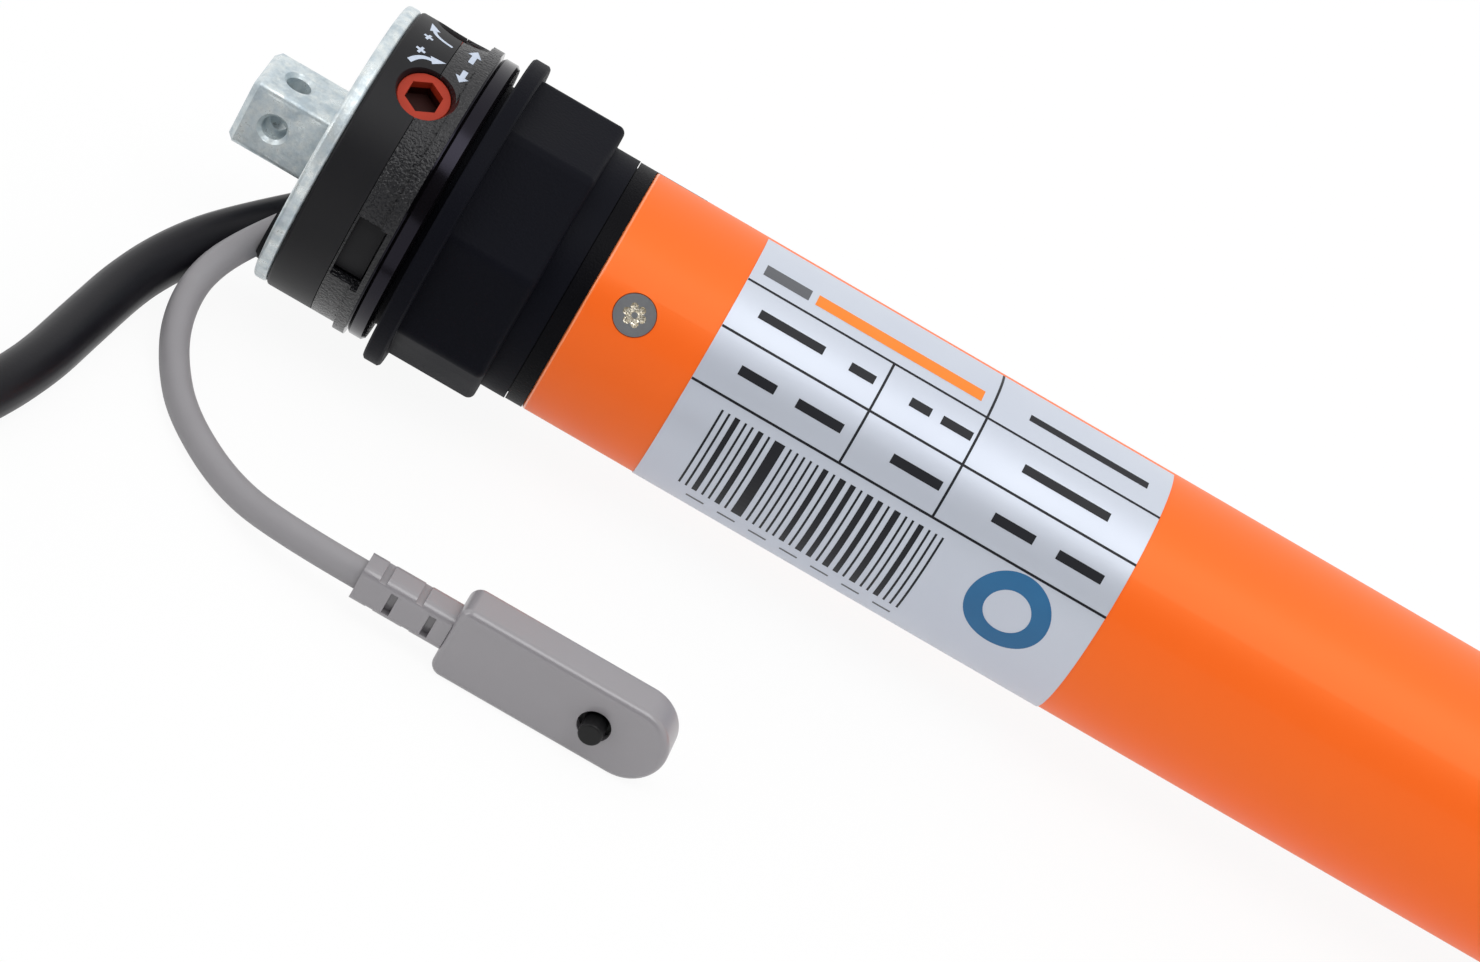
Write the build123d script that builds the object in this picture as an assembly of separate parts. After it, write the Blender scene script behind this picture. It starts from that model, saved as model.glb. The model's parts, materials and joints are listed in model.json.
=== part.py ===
from build123d import *
import os
from math import acos, atan2, cos, degrees, pi, radians, sin, sqrt, tan

# Tubular roller blind motor with a crown for an octagonal roller tube, two limit screws,
# a setting lead with a push-button switch and a mains lead.
# Lengths are millimetres. X runs along the motor axis towards the drive end, +Z is up
# and -Y is the front. The stations below count from the head end of the motor tube.
# Angles of pieces round the axis are degrees from +Z towards the front.

# Clearances and cutting
slip = 0.1
free_gap = 0.3
wide_gap = 0.5
running = 0.06
axial_play = 0.2
cord_seat = 0.08
overrun = 2.0

# Turns in degrees
quarter_turn = 90.0
full_turn = 360.0
side_turns = (0.0, 180.0)

# Motor tube
tube_diameter = 35.0
tube_wall = 1.0
tube_length = 372.0
key_width = 6.0
key_length = 7.5
key_angle = -36.0

# Rating label
label_start = 16.6
label_length = 60.4
label_thickness = 0.1
label_glue = 0.02
label_from_angle = -18.6
label_to_angle = 165.0

# Countersunk tube screws with a six-lobe recess and a centre pin
screw_head_diameter = 5.5
screw_head_depth = 1.4
screw_shank_diameter = 2.9
screw_length = 4.6
screw_rim = 0.2
screw_inset = 6.5
screw_sink = 0.15
screw_angles = (58.0, 178.0, -62.0)
lobe_count = 6
lobe_radius = 0.5
lobe_circle_radius = 1.1
recess_radius = 1.0
recess_depth = 0.8
recess_pin_radius = 0.42

# Square pin with two crossing holes for a split pin
pin_width = 10.0
pin_reach = 11.7
pin_corner = 1.0
pin_end_chamfer = 0.8
pin_hole_diameter = 3.4
pin_hole_rim = 0.5
pin_hole_inset = 4.9
pin_flange_width = 10.6
pin_flange_thickness = 1.6

# Mounting plate and its screws
plate_diameter = 40.0
plate_thickness = 2.0
plate_edge_round = 0.6
plate_screw_head_diameter = 4.6
plate_screw_diameter = 2.4
plate_screw_length = 7.0
plate_screw_circle_radius = 14.6
plate_screw_angles = (88.0, -40.0, -120.0)
plate_screw_slot_width = 0.7
plate_screw_slot_depth = 0.6

# Head cover and head housing
head_diameter = 40.2
head_wall = 1.8
cover_length = 6.6
cover_floor = 2.4
cover_edge_round = 0.5
seam_gap = 0.1
band_length = 5.1
band_groove_width = 0.2
band_groove_depth = 0.5
rim_diameter = 41.6
rim_length = 1.6
gloss_ring_diameter = 40.6
gloss_ring_length = 2.5
gloss_ring_chamfer = 0.4
bulkhead_thickness = 1.8
mouth_depth = 0.9
mouth_spread = 1.2
well_offset = 0.35

# Latch windows of the housing and the cover's tongues in them
window_from_angle = 77.0
window_to_angle = 105.0
window_margin = 0.7
window_end_margin = 0.3
tongue_thickness = 1.0
tongue_reach = 4.2
tongue_side_gap = 1.5
tongue_gap = 0.15

# Limit screws
limit_screw_angle = 25.0
limit_screw_diameter = 7.05
limit_screw_sink = 1.0
limit_screw_head_length = 3.2
limit_screw_stem_diameter = 3.0
limit_screw_stem_length = 1.5
hex_across_flats = 4.35
hex_depth = 2.9
hex_sides = 6
hex_turn = 30.0
well_wall = 1.3
well_floor = 1.2

# Limit spindles with their pinions and nuts
spindle_circle_radius = 12.0
spindle_diameter = 2.4
spindle_thread_diameter = 3.2
spindle_seat = 1.2
pinion_teeth = 10
limit_ring_teeth = 40
limit_module = 0.8
limit_gear_length = 2.2
nut_width = 4.8
nut_length = 3.0
nut_height = 4.6
nut_offset_share = 0.62
switch_case_length = 5.6
switch_case_width = 3.6
switch_case_height = 3.2
switch_plunger_diameter = 1.2
switch_plunger_gap = 0.4

# Bearing sleeve and its screws
collar_length = 2.4
sleeve_floor = 3.0
journal_diameter = 33.2
spigot_length = 18.0
sleeve_wall = 2.6
wire_hole_radius = 3.6
head_screw_diameter = 2.6
head_screw_head_diameter = 4.6
head_screw_head_height = 1.8
head_screw_slot_depth = 0.6
head_screw_slot_width = 0.65
head_screw_circle_radius = 11.6
head_screw_angles = (75.0, 180.0, -75.0)
head_screw_depth = 2.4

# Limit ring and crown adapter
crown_gap = 0.9
crown_flange_diameter = 44.4
crown_flange_thickness = 2.5
crown_flange_chamfer = 0.3
octagon_across_flats = 37.9
octagon_length = 12.4
octagon_sides = 8
octagon_turn = 22.5
octagon_edge_round = 2.2
octagon_end_round = 1.0
ring_lip_length = 3.5
ring_end_gap = 0.12
ring_wall = 0.92
crown_key_width = 3.0
crown_key_inset = 3.0
crown_key_height = 0.5
crown_key_count = 3

# Teeth of all gears
pressure_angle = 25.0
addendum_share = 0.75
dedendum_share = 0.9
tooth_thinning = 0.035

# Planetary gearbox
gear_module = 0.7
sun_teeth = 9
planet_teeth = 15
ring_teeth = 39
planet_count = 3
stage_count = 3
gear_width = 9.0
gear_gap = 0.5
carrier_thickness = 4.2
carrier_diameter = 25.0
planet_pin_diameter = 3.2
gearbox_front_wall = 3.0
gearbox_end_room = 1.0

# Output shaft, end cap and drive wheel
output_diameter = 10.0
output_square = 7.4
output_square_corner = 0.6
bush_wall = 2.4
bush_length = 12.0
cap_length = 28.0
cap_collar_length = 2.5
wheel_gap = 0.8
wheel_width = 18.0
wheel_across_flats = 37.9
wheel_wall = 1.8
wheel_web = 2.2
wheel_hub_diameter = 15.0
wheel_rib = 1.4
wheel_rib_count = 8
clip_groove_depth = 0.8
clip_thickness = 0.9
clip_radial_width = 2.2
clip_opening_angle = 70.0
shaft_end_length = 2.4

# Alternating current motor
shaft_diameter = 5.0
shield_thickness = 6.0
bearing_diameter = 13.0
bearing_width = 4.0
stator_length = 90.0
stator_bore = 19.4
rotor_gap = 0.35
slot_count = 12
slot_inner_radius = 10.9
slot_outer_radius = 13.9
slot_width = 3.4
slot_liner = 0.25
winding_overhang = 8.0
winding_room = 1.0
rotor_overhang = 3.0

# Brake
brake_gap = 0.1
brake_stroke = 0.4
brake_disc_diameter = 27.0
brake_disc_thickness = 2.6
armature_thickness = 2.6
armature_diameter = 30.0
brake_housing_length = 18.0
brake_coil_length = 9.0
brake_coil_inner_diameter = 15.0
brake_coil_outer_diameter = 26.0
brake_bore = 12.4
brake_spring_wire = 0.9
brake_spring_diameter = 9.6
brake_spring_turns = 4
guide_pin_diameter = 2.0
guide_pin_circle_radius = 14.0
guide_pin_angles = (0.0, 120.0, 240.0)

# Receiver board and its carrier
tray_gap = 2.0
tray_wall = 1.2
tray_top = -2.0
board_thickness = 1.6
board_drop = 6.0
board_share = 0.56
terminal_length_share = 0.16
terminal_width = 16.0
terminal_height = 8.0
terminal_count = 4
terminal_inset_share = 0.05
terminal_hole_diameter = 2.7
terminal_hole_share = 0.5
relay_length_share = 0.2
relay_width = 10.0
relay_height = 11.0
relay_gap_share = 0.04
relay_count = 2
capacitor_diameter = 25.0
capacitor_share = 0.36
capacitor_crimp_depth = 0.7
capacitor_crimp_inset = 4.0

# Mains lead, its coil and its cores
mains_diameter = 6.8
coil_gap = 0.6
coil_turns = 3
coil_layers = 2
coil_outer_radius = 49.6
coil_tie_width = 7.0
coil_tie_thickness = 1.2
tail_run = 18.0
tail_end_run = 12.0
core_diameter = 2.2
core_length = 16.0
ferrule_diameter = 1.5
ferrule_length = 7.0
core_circle_radius = 1.35
core_count = 3
gap_steps = 900
gap_skip_share = 3.0

# Setting lead and its switch
setting_diameter = 3.9
switch_start = 6.0
switch_length = 30.6
switch_height = 10.9
switch_depth = 6.4
switch_front = -59.2
switch_corner = 1.6
switch_edge_round = 1.1
switch_wall = 1.2
switch_face_wall = 1.3
switch_lid_depth = 1.6
button_inset = 9.7
button_hole_diameter = 4.4
button_diameter = 3.1
button_flange_diameter = 5.6
button_flange_thickness = 0.6
button_proud = 2.1
button_travel = 0.8
button_round = 0.3
tact_size = 4.6
tact_height = 0.8
switch_board_length = 18.0
switch_board_height = 5.6
switch_board_thickness = 0.8
relief_height = 5.3
relief_depth = 5.0
relief_corner = 1.3
relief_slot_width = 1.0
relief_slot_height = 3.2
relief_slot_depth = 1.1
relief_notch_depth = 0.6
relief_slot_shares = (0.38, 0.8)
relief_notch_shares = (0.22, 0.62)

# Share of a route's shorter run that an arc may use on each side of a corner
arc_share = 0.45

# Grommet of the cable outlet: the leads leave aslant
grommet_wall = 0.5
grommet_lip = 0.8
grommet_lip_overhang = 0.5

# Routes of the two leads: x from the tube's head end, y, and height above the table
setting_route = (
    (-37.4, -9.9, 14.0),
    (-41.3, -13.4, 10.0),
    (-43.7, -20.0, 7.1),
    (-43.2, -26.2, 4.2),
    (-40.6, -32.1, 2.0),
    (-35.7, -41.1, 2.0),
    (-26.0, -49.5, 2.0),
    (-15.9, -56.0, 5.45),
    (-6.6, -56.0, 5.45),
)
mains_route = (
    (-37.0, -2.0, 10.8),
    (-41.6, -6.6, 8.7),
    (-46.7, -13.3, 6.4),
    (-50.6, -23.0, 4.3),
    (-52.4, -36.0, 3.5),
    (-53.9, -50.0, 3.5),
    (-57.5, -63.5, 3.5),
    (-63.2, -75.7, 3.5),
    (-69.9, -87.3, 3.5),
)

# Stations of the head, from the tube's head end towards the pin
tube_radius = tube_diameter / 2
tube_bore = tube_radius - tube_wall
fit_radius = tube_bore - slip
collar_start = -collar_length
ring_end = collar_start - ring_end_gap
octagon_end = ring_end - ring_lip_length
octagon_start = octagon_end - octagon_length
crown_start = octagon_start - crown_flange_thickness
gloss_end = crown_start - crown_gap
gloss_start = gloss_end - gloss_ring_length
band_end = gloss_start - band_groove_width
band_start = band_end - band_length
cover_end = band_start - seam_gap
cover_start = cover_end - cover_length
cover_floor_end = cover_start + cover_floor
plate_start = cover_start - plate_thickness
pin_start = plate_start - pin_reach
gear_band_start = gloss_end - limit_gear_length
bulkhead_end = gear_band_start - axial_play
bulkhead_start = bulkhead_end - bulkhead_thickness
well_x = (band_start + cover_end) / 2 - well_offset

# Radii of the head
head_radius = head_diameter / 2
rim_radius = rim_diameter / 2
gloss_radius = gloss_ring_diameter / 2
head_inner_radius = head_radius - head_wall
journal_radius = journal_diameter / 2
ring_bore = journal_radius + running
ring_outer_radius = ring_bore + ring_wall
limit_ring_pitch = limit_module * limit_ring_teeth / 2
limit_ring_tip = limit_ring_pitch - limit_module * addendum_share
pinion_pitch = limit_module * pinion_teeth / 2
pinion_tip = pinion_pitch + limit_module * addendum_share
hub_radius = limit_ring_tip - wide_gap
crown_radius = crown_flange_diameter / 2
well_radius = limit_screw_diameter / 2 + running

# Stations of the drive end, worked back from the end of the tube
cap_start = tube_length - cap_length
stage_length = gear_width + carrier_thickness + 2 * gear_gap
gearbox_length = gearbox_front_wall + stage_count * stage_length + gearbox_end_room
gearbox_end = cap_start - axial_play
gearbox_start = gearbox_end - gearbox_length
first_stage = gearbox_start + gearbox_front_wall + gear_gap
rear_shield_start = gearbox_start - axial_play - shield_thickness
stator_end = rear_shield_start - winding_room - winding_overhang
stator_start = stator_end - stator_length
front_shield_end = stator_start - winding_overhang - winding_room
front_shield_start = front_shield_end - shield_thickness
disc_end = front_shield_start - brake_gap
disc_start = disc_end - brake_disc_thickness
armature_end = disc_start - brake_gap
armature_start = armature_end - armature_thickness
brake_end = armature_start - brake_stroke - brake_gap
brake_start = brake_end - brake_housing_length
tray_start = spigot_length + slip
tray_end = brake_start - tray_gap
tray_length = tray_end - tray_start
board_length = tray_length * board_share
terminal_start = tray_start + board_length * terminal_inset_share
terminal_end = terminal_start + board_length * terminal_length_share
relay_length = board_length * relay_length_share
relay_gap = board_length * relay_gap_share
cap_end = tube_length + cap_collar_length
wheel_start = cap_end + wheel_gap
wheel_end = wheel_start + wheel_width
clip_start = wheel_end + slip
shaft_end = clip_start + clip_thickness + shaft_end_length

# The part's own frame: its origin is under the middle of the motor, on the table
table_drop = crown_radius
place = Location((-(pin_start + shaft_end) / 2, 0, table_drop))

centre_distance = gear_module * (sun_teeth + planet_teeth) / 2
standing = (Align.MIN, Align.CENTER, Align.MIN)
lying = (Align.MIN, Align.CENTER, Align.CENTER)
parts = {}


# Shared forms
def along(start, end, section):
    """A section of the YZ plane, swept along the axis from one station to another."""
    return extrude(Plane.YZ.offset(start) * section, amount=end - start)


def cylinder(start, end, radius, bore=0):
    """A round bar along the axis, or a tube where it has a bore."""
    section = Circle(radius)
    if bore:
        section -= Circle(bore)
    return along(start, end, section)


def round_box(start, end, width, height, centre=(0, 0)):
    """A box along the axis, given by its stations and its section."""
    return along(start, end, Pos(*centre) * Rectangle(width, height))


def turned(points):
    """A solid turned round the axis from (station, radius) points."""
    outline = make_face(Polyline(*[(x, r) for x, r in points], close=True))
    return revolve(outline, Axis.X)


def arc_strip(start, end, inner, outer, from_angle, to_angle):
    """Part of a ring between two angles from +Z towards the front."""
    sweep_angle = to_angle - from_angle
    first = quarter_turn + from_angle
    inside = CenterArc((0, 0), inner, first, sweep_angle)
    outside = CenterArc((0, 0), outer, first, sweep_angle)
    sides = [Line(inside @ 0, outside @ 0), Line(inside @ 1, outside @ 1)]
    return along(start, end, make_face([inside, outside, *sides]))


def around(shape, angle, station=0):
    """A shape drawn at the top of the axis, turned towards the front and moved along it."""
    return Pos(station, 0, 0) * Rot(angle, 0, 0) * shape


def upright(low, high, radius, centre=(0, 0)):
    """A cylinder along Z between two heights above the axis."""
    return extrude(Plane.XY.offset(low) * Pos(*centre) * Circle(radius), amount=high - low)


def upright_turned(points):
    """A solid turned round Z from (radius, height) points."""
    outline = make_face(Polyline(*points, close=True))
    return revolve(Plane.XZ * outline, Axis.Z)


def cylinder_at(start, end, radius, y, z):
    """A round bar parallel to the axis."""
    return along(start, end, Pos(y, z) * Circle(radius))


def largest(shape):
    """The biggest solid of a result, which drops slivers that a cut has left."""
    return max(shape.solids(), key=lambda solid: solid.volume)


def spot(angle, radius):
    """The (y, z) place at an angle from +Z towards the front."""
    turn = radians(angle)
    return (-radius * sin(turn), radius * cos(turn))


# Gears
def involute(angle):
    """The involute function, in radians."""
    return tan(angle) - angle


def half_tooth(radius, pitch_radius, teeth, thinning):
    """Half of the angle that a tooth takes at a radius."""
    flank = radians(pressure_angle)
    base = pitch_radius * cos(flank)
    at_pitch = pi / (2 * teeth) - thinning / pitch_radius
    return at_pitch + involute(flank) - involute(acos(base / max(radius, base)))


def gear_section(teeth, module, inner, outer, thinning, turn=0):
    """A toothed outline, each flank in two flat facets. An internal gear is its mould."""
    pitch_radius = module * teeth / 2
    rise = (inner, pitch_radius, outer)
    points = []
    for tooth in range(teeth):
        middle = radians(turn) + 2 * pi * tooth / teeth
        flanks = [(radius, -1) for radius in rise] + [(radius, 1) for radius in reversed(rise)]
        for radius, side in flanks:
            angle = middle + side * half_tooth(radius, pitch_radius, teeth, thinning)
            points.append((radius * cos(angle), radius * sin(angle)))
    return make_face(Polyline(*points, close=True))


def outer_gear(teeth, module, turn=0):
    """The section of a gear with outward teeth, one tooth at the turn."""
    pitch_radius = module * teeth / 2
    root = pitch_radius - module * dedendum_share
    tip = pitch_radius + module * addendum_share
    return gear_section(teeth, module, root, tip, tooth_thinning, turn)


def inner_gear(teeth, module):
    """The hollow of a gear with inward teeth, one space at angle zero."""
    pitch_radius = module * teeth / 2
    tip = pitch_radius - module * addendum_share
    root = pitch_radius + module * dedendum_share
    return gear_section(teeth, module, tip, root, -tooth_thinning)


# Screws
def lobed_recess(top):
    """The six-lobe recess round a centre pin, cut down from the head's top."""
    section = Circle(recess_radius)
    for lobe in PolarLocations(lobe_circle_radius, lobe_count):
        section += lobe * Circle(lobe_radius)
    section -= Circle(recess_pin_radius)
    floor = top - recess_depth
    return extrude(Plane.XY.offset(floor) * section, amount=recess_depth + overrun)


def tube_screw(top):
    """A countersunk screw standing on the axis' top side, its head's face at a radius."""
    head = screw_head_diameter / 2
    shank = screw_shank_diameter / 2
    rim = top - screw_rim
    neck = top - screw_head_depth
    end = top - screw_length
    body = upright_turned([(0, top), (head, top), (head, rim), (shank, neck), (shank, end), (0, end)])
    return body - lobed_recess(top)


def tube_screw_hole(top, clearance):
    """The space that a countersunk screw and the dimple round it take."""
    head = screw_head_diameter / 2 + clearance
    shank = screw_shank_diameter / 2 + clearance
    rim = top - screw_rim - clearance
    neck = top - screw_head_depth - clearance
    end = top - screw_length - clearance
    high = top + overrun
    return upright_turned([(0, high), (head, high), (head, rim), (shank, neck), (shank, end), (0, end)])


screw_top = tube_radius - screw_sink
head_screw_station = screw_inset
end_screw_station = tube_length - screw_inset


def screw_group(station):
    """The three screws round one end of the tube."""
    return [around(tube_screw(screw_top), angle, station) for angle in screw_angles]


def screw_holes(station):
    """The holes for the three screws round one end of the tube."""
    return [around(tube_screw_hole(screw_top, slip), angle, station) for angle in screw_angles]


# Square pin and mounting plate
def pin_section(width, corner):
    """The rounded square section of the pin."""
    return RectangleRounded(width, width, corner)


def square_pin():
    """The square pin, through the plate to the flange behind it."""
    bar = along(pin_start, cover_start, pin_section(pin_width, pin_corner))
    end_edges = bar.faces().sort_by(Axis.X)[0].edges()
    bar = chamfer(end_edges, pin_end_chamfer)
    flange_end = cover_start + pin_flange_thickness
    bar += round_box(cover_start, flange_end, pin_flange_width, pin_flange_width)
    hole_x = pin_start + pin_hole_inset
    hole = pin_hole_diameter / 2
    reach = pin_width / 2 + overrun
    rim_low = pin_width / 2 - pin_hole_rim
    drill = upright(-reach, reach, hole)
    countersink = Pos(0, 0, rim_low + pin_hole_rim / 2) * Cone(hole, hole + pin_hole_rim, pin_hole_rim)
    for side in side_turns:
        drill += Rot(side, 0, 0) * countersink
    cross = Pos(hole_x, 0, 0) * (drill + Rot(quarter_turn, 0, 0) * drill)
    return bar - cross


def mounting_plate():
    """The round steel plate with the pin's square hole and the cable outlet."""
    plate = cylinder(plate_start, cover_start, plate_diameter / 2)
    rim_edges = plate.edges().filter_by(GeomType.CIRCLE)
    plate = fillet(rim_edges, plate_edge_round)
    low, high = plate_start - overrun, cover_start + overrun
    plate -= along(low, high, pin_section(pin_width + 2 * slip, pin_corner))
    plate -= along(low, high, outlet_section(slip))
    for angle in plate_screw_angles:
        plate -= plate_screw_form(angle, slip)
    return plate


def plate_screw_form(angle, clearance=0):
    """A countersunk plate screw, or with a clearance the hole for it."""
    head = plate_screw_head_diameter / 2 + clearance
    shank = plate_screw_diameter / 2 + clearance
    neck = plate_start + head - shank
    end = plate_start + plate_screw_length + clearance
    form = turned([(plate_start, 0), (plate_start, head), (neck, shank), (end, shank), (end, 0)])
    if clearance:
        form += cylinder(plate_start - overrun, plate_start, head)
    y, z = spot(angle, plate_screw_circle_radius)
    return Pos(0, y, z) * form


def plate_screws():
    """The slotted screws that hold the plate to the head."""
    group = []
    for angle in plate_screw_angles:
        y, z = spot(angle, plate_screw_circle_radius)
        slot_end = plate_start + plate_screw_slot_depth
        slot_length = plate_screw_head_diameter + overrun
        slot = round_box(plate_start - overrun, slot_end, slot_length, plate_screw_slot_width, (y, z))
        group.append(plate_screw_form(angle) - slot)
    return group


# Cable outlet
def route_points(route):
    """A route's points with the table's height taken into account."""
    return [Vector(x, y, height - table_drop) for x, y, height in route]


def outlet_centre(route):
    """Where a slanted lead crosses the outer face of the plate, as (y, z)."""
    first, second = route_points(route)[:2]
    share = (plate_start - first.X) / (second.X - first.X)
    crossing = first + (second - first) * share
    return crossing.Y, crossing.Z


def outlet_radius(route, diameter):
    """The radius that a slanted lead needs where it crosses the plate."""
    first, second = route_points(route)[:2]
    slant = (second - first).normalized()
    return diameter / 2 / abs(slant.X) + grommet_wall


def outlet_section(grow):
    """The rounded outline of the cable outlet, round both leads."""
    rings = []
    for route, diameter in ((mains_route, mains_diameter), (setting_route, setting_diameter)):
        rings += (Pos(*outlet_centre(route)) * Circle(outlet_radius(route, diameter) + grow)).edges()
    return make_hull(rings)


def cable_grommet():
    """The rubber grommet with a slanted socket for each lead."""
    lip_start = plate_start - grommet_lip
    body = along(plate_start, cover_floor_end, outlet_section(0))
    body += along(lip_start, plate_start, outlet_section(grommet_lip_overhang))
    for route, diameter in ((mains_route, mains_diameter), (setting_route, setting_diameter)):
        body -= lead_tube(route, diameter + 2 * cord_seat)
    return body


# Head
def side_of_seam(shape, low, high):
    """The part of a shape between two stations."""
    reach = rim_diameter + overrun
    return shape & round_box(low, high, reach, reach)


def well_tower(angle, low, high):
    """The tower that carries a limit screw, as far as one half of the head holds it."""
    floor = head_radius - limit_screw_sink - limit_screw_head_length - well_floor
    outer = well_radius + well_wall
    tower = upright(floor, head_inner_radius + head_wall / 2, outer)
    return side_of_seam(around(tower, angle, well_x), low, high)


def well_space(angle):
    """The space of a limit screw and the cone at its mouth."""
    shoulder = head_radius - limit_screw_sink - limit_screw_head_length
    space = upright(shoulder, head_radius + overrun, well_radius)
    space += upright(0, head_radius, limit_screw_stem_diameter / 2 + running)
    low, high = head_radius - mouth_depth, head_radius + overrun
    wide = well_radius + mouth_spread
    mouth = upright_turned([(0, low), (well_radius, low), (wide, high), (0, high)])
    return around(space + mouth, angle, well_x)


def limit_wells():
    """The angles of the two limit screws."""
    return limit_screw_angle, -limit_screw_angle


def head_cover():
    """The smooth half of the head, behind the plate."""
    shell = cylinder(cover_start, cover_end, head_radius)
    front_edge = shell.edges().filter_by(GeomType.CIRCLE).sort_by(Axis.X)[0]
    shell = fillet(front_edge, cover_edge_round)
    shell -= cylinder(cover_floor_end, cover_end + overrun, head_inner_radius)
    for angle in limit_wells():
        shell += well_tower(angle, cover_start, cover_end)
    for sign in (1, -1):
        shell += latch_tongue(sign)
    for angle in limit_wells():
        shell -= well_space(angle)
        y, z = spot(angle, spindle_circle_radius)
        socket_start = cover_floor_end - spindle_seat
        shell -= cylinder_at(socket_start, cover_floor_end, spindle_diameter / 2 + running, y, z)
    recess = pin_flange_width + 2 * slip
    shell -= round_box(cover_start - overrun, cover_start + pin_flange_thickness + slip, recess, recess)
    shell -= along(cover_start - overrun, cover_floor_end + overrun, outlet_section(slip))
    for angle in plate_screw_angles:
        shell -= plate_screw_form(angle, slip)
    return largest(shell)


def window_angles(sign, inset):
    """The two angles of a latch window on one side, with an inset."""
    return sorted((sign * (window_from_angle + inset), sign * (window_to_angle - inset)))


def latch_tongue(sign):
    """A tongue of the cover that snaps into a window of the housing."""
    low, high = window_angles(sign, tongue_side_gap)
    inner = head_inner_radius - tongue_thickness / 2
    outer = inner + tongue_thickness
    return arc_strip(cover_end - head_wall, cover_end + tongue_reach, inner, outer, low, high)


def latch_window(sign):
    """The window in the housing for a tongue of the cover."""
    low, high = window_angles(sign, 0)
    start, end = band_start + window_end_margin, band_end - window_margin
    return arc_strip(start, end, head_inner_radius - overrun, rim_radius + overrun, low, high)


def tongue_track(sign):
    """The slot that lets a tongue slide past the housing's edge."""
    low, high = window_angles(sign, tongue_gap)
    inner = head_inner_radius - overrun
    outer = head_inner_radius + tongue_thickness / 2 + tongue_gap
    return arc_strip(band_start - overrun, band_start + overrun, inner, outer, low, high)


def head_housing():
    """The grained half of the head with its rim, the gloss ring and the hub of the sleeve."""
    rim_start = band_end - rim_length
    shell = cylinder(band_start, rim_start, head_radius)
    shell += cylinder(rim_start, band_end, rim_radius)
    shell += cylinder(band_end, gloss_start, head_radius - band_groove_depth)
    ring = cylinder(gloss_start, gloss_end, gloss_radius)
    ring_edges = ring.edges().filter_by(GeomType.CIRCLE)
    shell += chamfer(ring_edges, gloss_ring_chamfer)
    shell -= cylinder(band_start - overrun, bulkhead_start, head_inner_radius)
    shell -= cylinder(bulkhead_end, gloss_end + overrun, ring_outer_radius + 2 * slip)
    shell += cylinder(bulkhead_start, gloss_end, hub_radius)
    for angle in limit_wells():
        shell += well_tower(angle, band_start, bulkhead_end)
    for angle in limit_wells():
        shell -= well_space(angle)
        y, z = spot(angle, spindle_circle_radius)
        shell -= cylinder_at(bulkhead_end, gloss_end + overrun, pinion_tip + 2 * slip, y, z)
        shell -= cylinder_at(bulkhead_start - overrun, gloss_end, spindle_diameter / 2 + running, y, z)
    for sign in (1, -1):
        shell -= latch_window(sign)
        shell -= tongue_track(sign)
    screw_clearance_radius = head_screw_diameter / 2 + slip
    for y, z in head_screw_spots():
        shell -= cylinder_at(bulkhead_start - overrun, gloss_end + overrun, screw_clearance_radius, y, z)
    shell -= cylinder(bulkhead_start - overrun, gloss_end + overrun, wire_hole_radius)
    return largest(shell)


def head_screw_spots():
    """The places of the screws that hold the bearing sleeve."""
    return [spot(angle, head_screw_circle_radius) for angle in head_screw_angles]


def head_screws():
    """The screws from the housing into the bearing sleeve."""
    group = []
    head_end = bulkhead_start
    head_start = head_end - head_screw_head_height
    for y, z in head_screw_spots():
        screw = cylinder_at(head_start, head_end, head_screw_head_diameter / 2, y, z)
        screw += cylinder_at(head_end, gloss_end + head_screw_depth, head_screw_diameter / 2, y, z)
        slot_end = head_start + head_screw_slot_depth
        slot_length = head_screw_head_diameter + overrun
        slot = round_box(head_start - overrun, slot_end, slot_length, head_screw_slot_width, (y, z))
        group.append(screw - slot)
    return group


def limit_screw(angle):
    """A red limit screw with its hexagon socket."""
    top = head_radius - limit_screw_sink
    shoulder = top - limit_screw_head_length
    stem = limit_screw_stem_diameter / 2
    body = upright(shoulder, top, limit_screw_diameter / 2)
    body = chamfer(body.edges().sort_by(Axis.Z)[-1], slip)
    body += upright(shoulder - limit_screw_stem_length, shoulder, stem)
    hexagon = RegularPolygon(hex_across_flats / 2, hex_sides, major_radius=False, rotation=hex_turn)
    body -= extrude(Plane.XY.offset(top - hex_depth) * hexagon, amount=hex_depth + overrun)
    return around(body, angle, well_x)


def pinion_turn(direction):
    """How far a limit pinion is turned for a tooth to meet a space of the ring."""
    pitch = full_turn / limit_ring_teeth
    nearest = round(direction / pitch) * pitch
    return direction + (nearest - direction) * limit_ring_teeth / pinion_teeth


def limit_spindle(angle):
    """A limit spindle with its pinion, which the limit ring turns."""
    y, z = spot(angle, spindle_circle_radius)
    start = cover_floor_end - spindle_seat + slip
    end = gloss_end + head_screw_depth / 2
    thread_start = cover_floor_end + axial_play
    thread_end = bulkhead_start - axial_play
    rod = cylinder(start, end, spindle_diameter / 2)
    rod += cylinder(thread_start, thread_end, spindle_thread_diameter / 2)
    teeth = outer_gear(pinion_teeth, limit_module, pinion_turn(quarter_turn + angle))
    rod += along(gear_band_start, gloss_end - slip, teeth)
    return Pos(0, y, z) * rod


def limit_nut(angle):
    """The nut that runs along a spindle and presses its switch."""
    middle = (cover_floor_end + bulkhead_start) / 2
    low = spindle_circle_radius - nut_height * nut_offset_share
    block = Pos(0, 0, low + nut_height / 2) * Box(nut_length, nut_width, nut_height)
    nut = around(block, angle, middle)
    y, z = spot(angle, spindle_circle_radius)
    bore = spindle_thread_diameter / 2 + running
    return nut - cylinder_at(middle - nut_length, middle + nut_length, bore, y, z)


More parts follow.
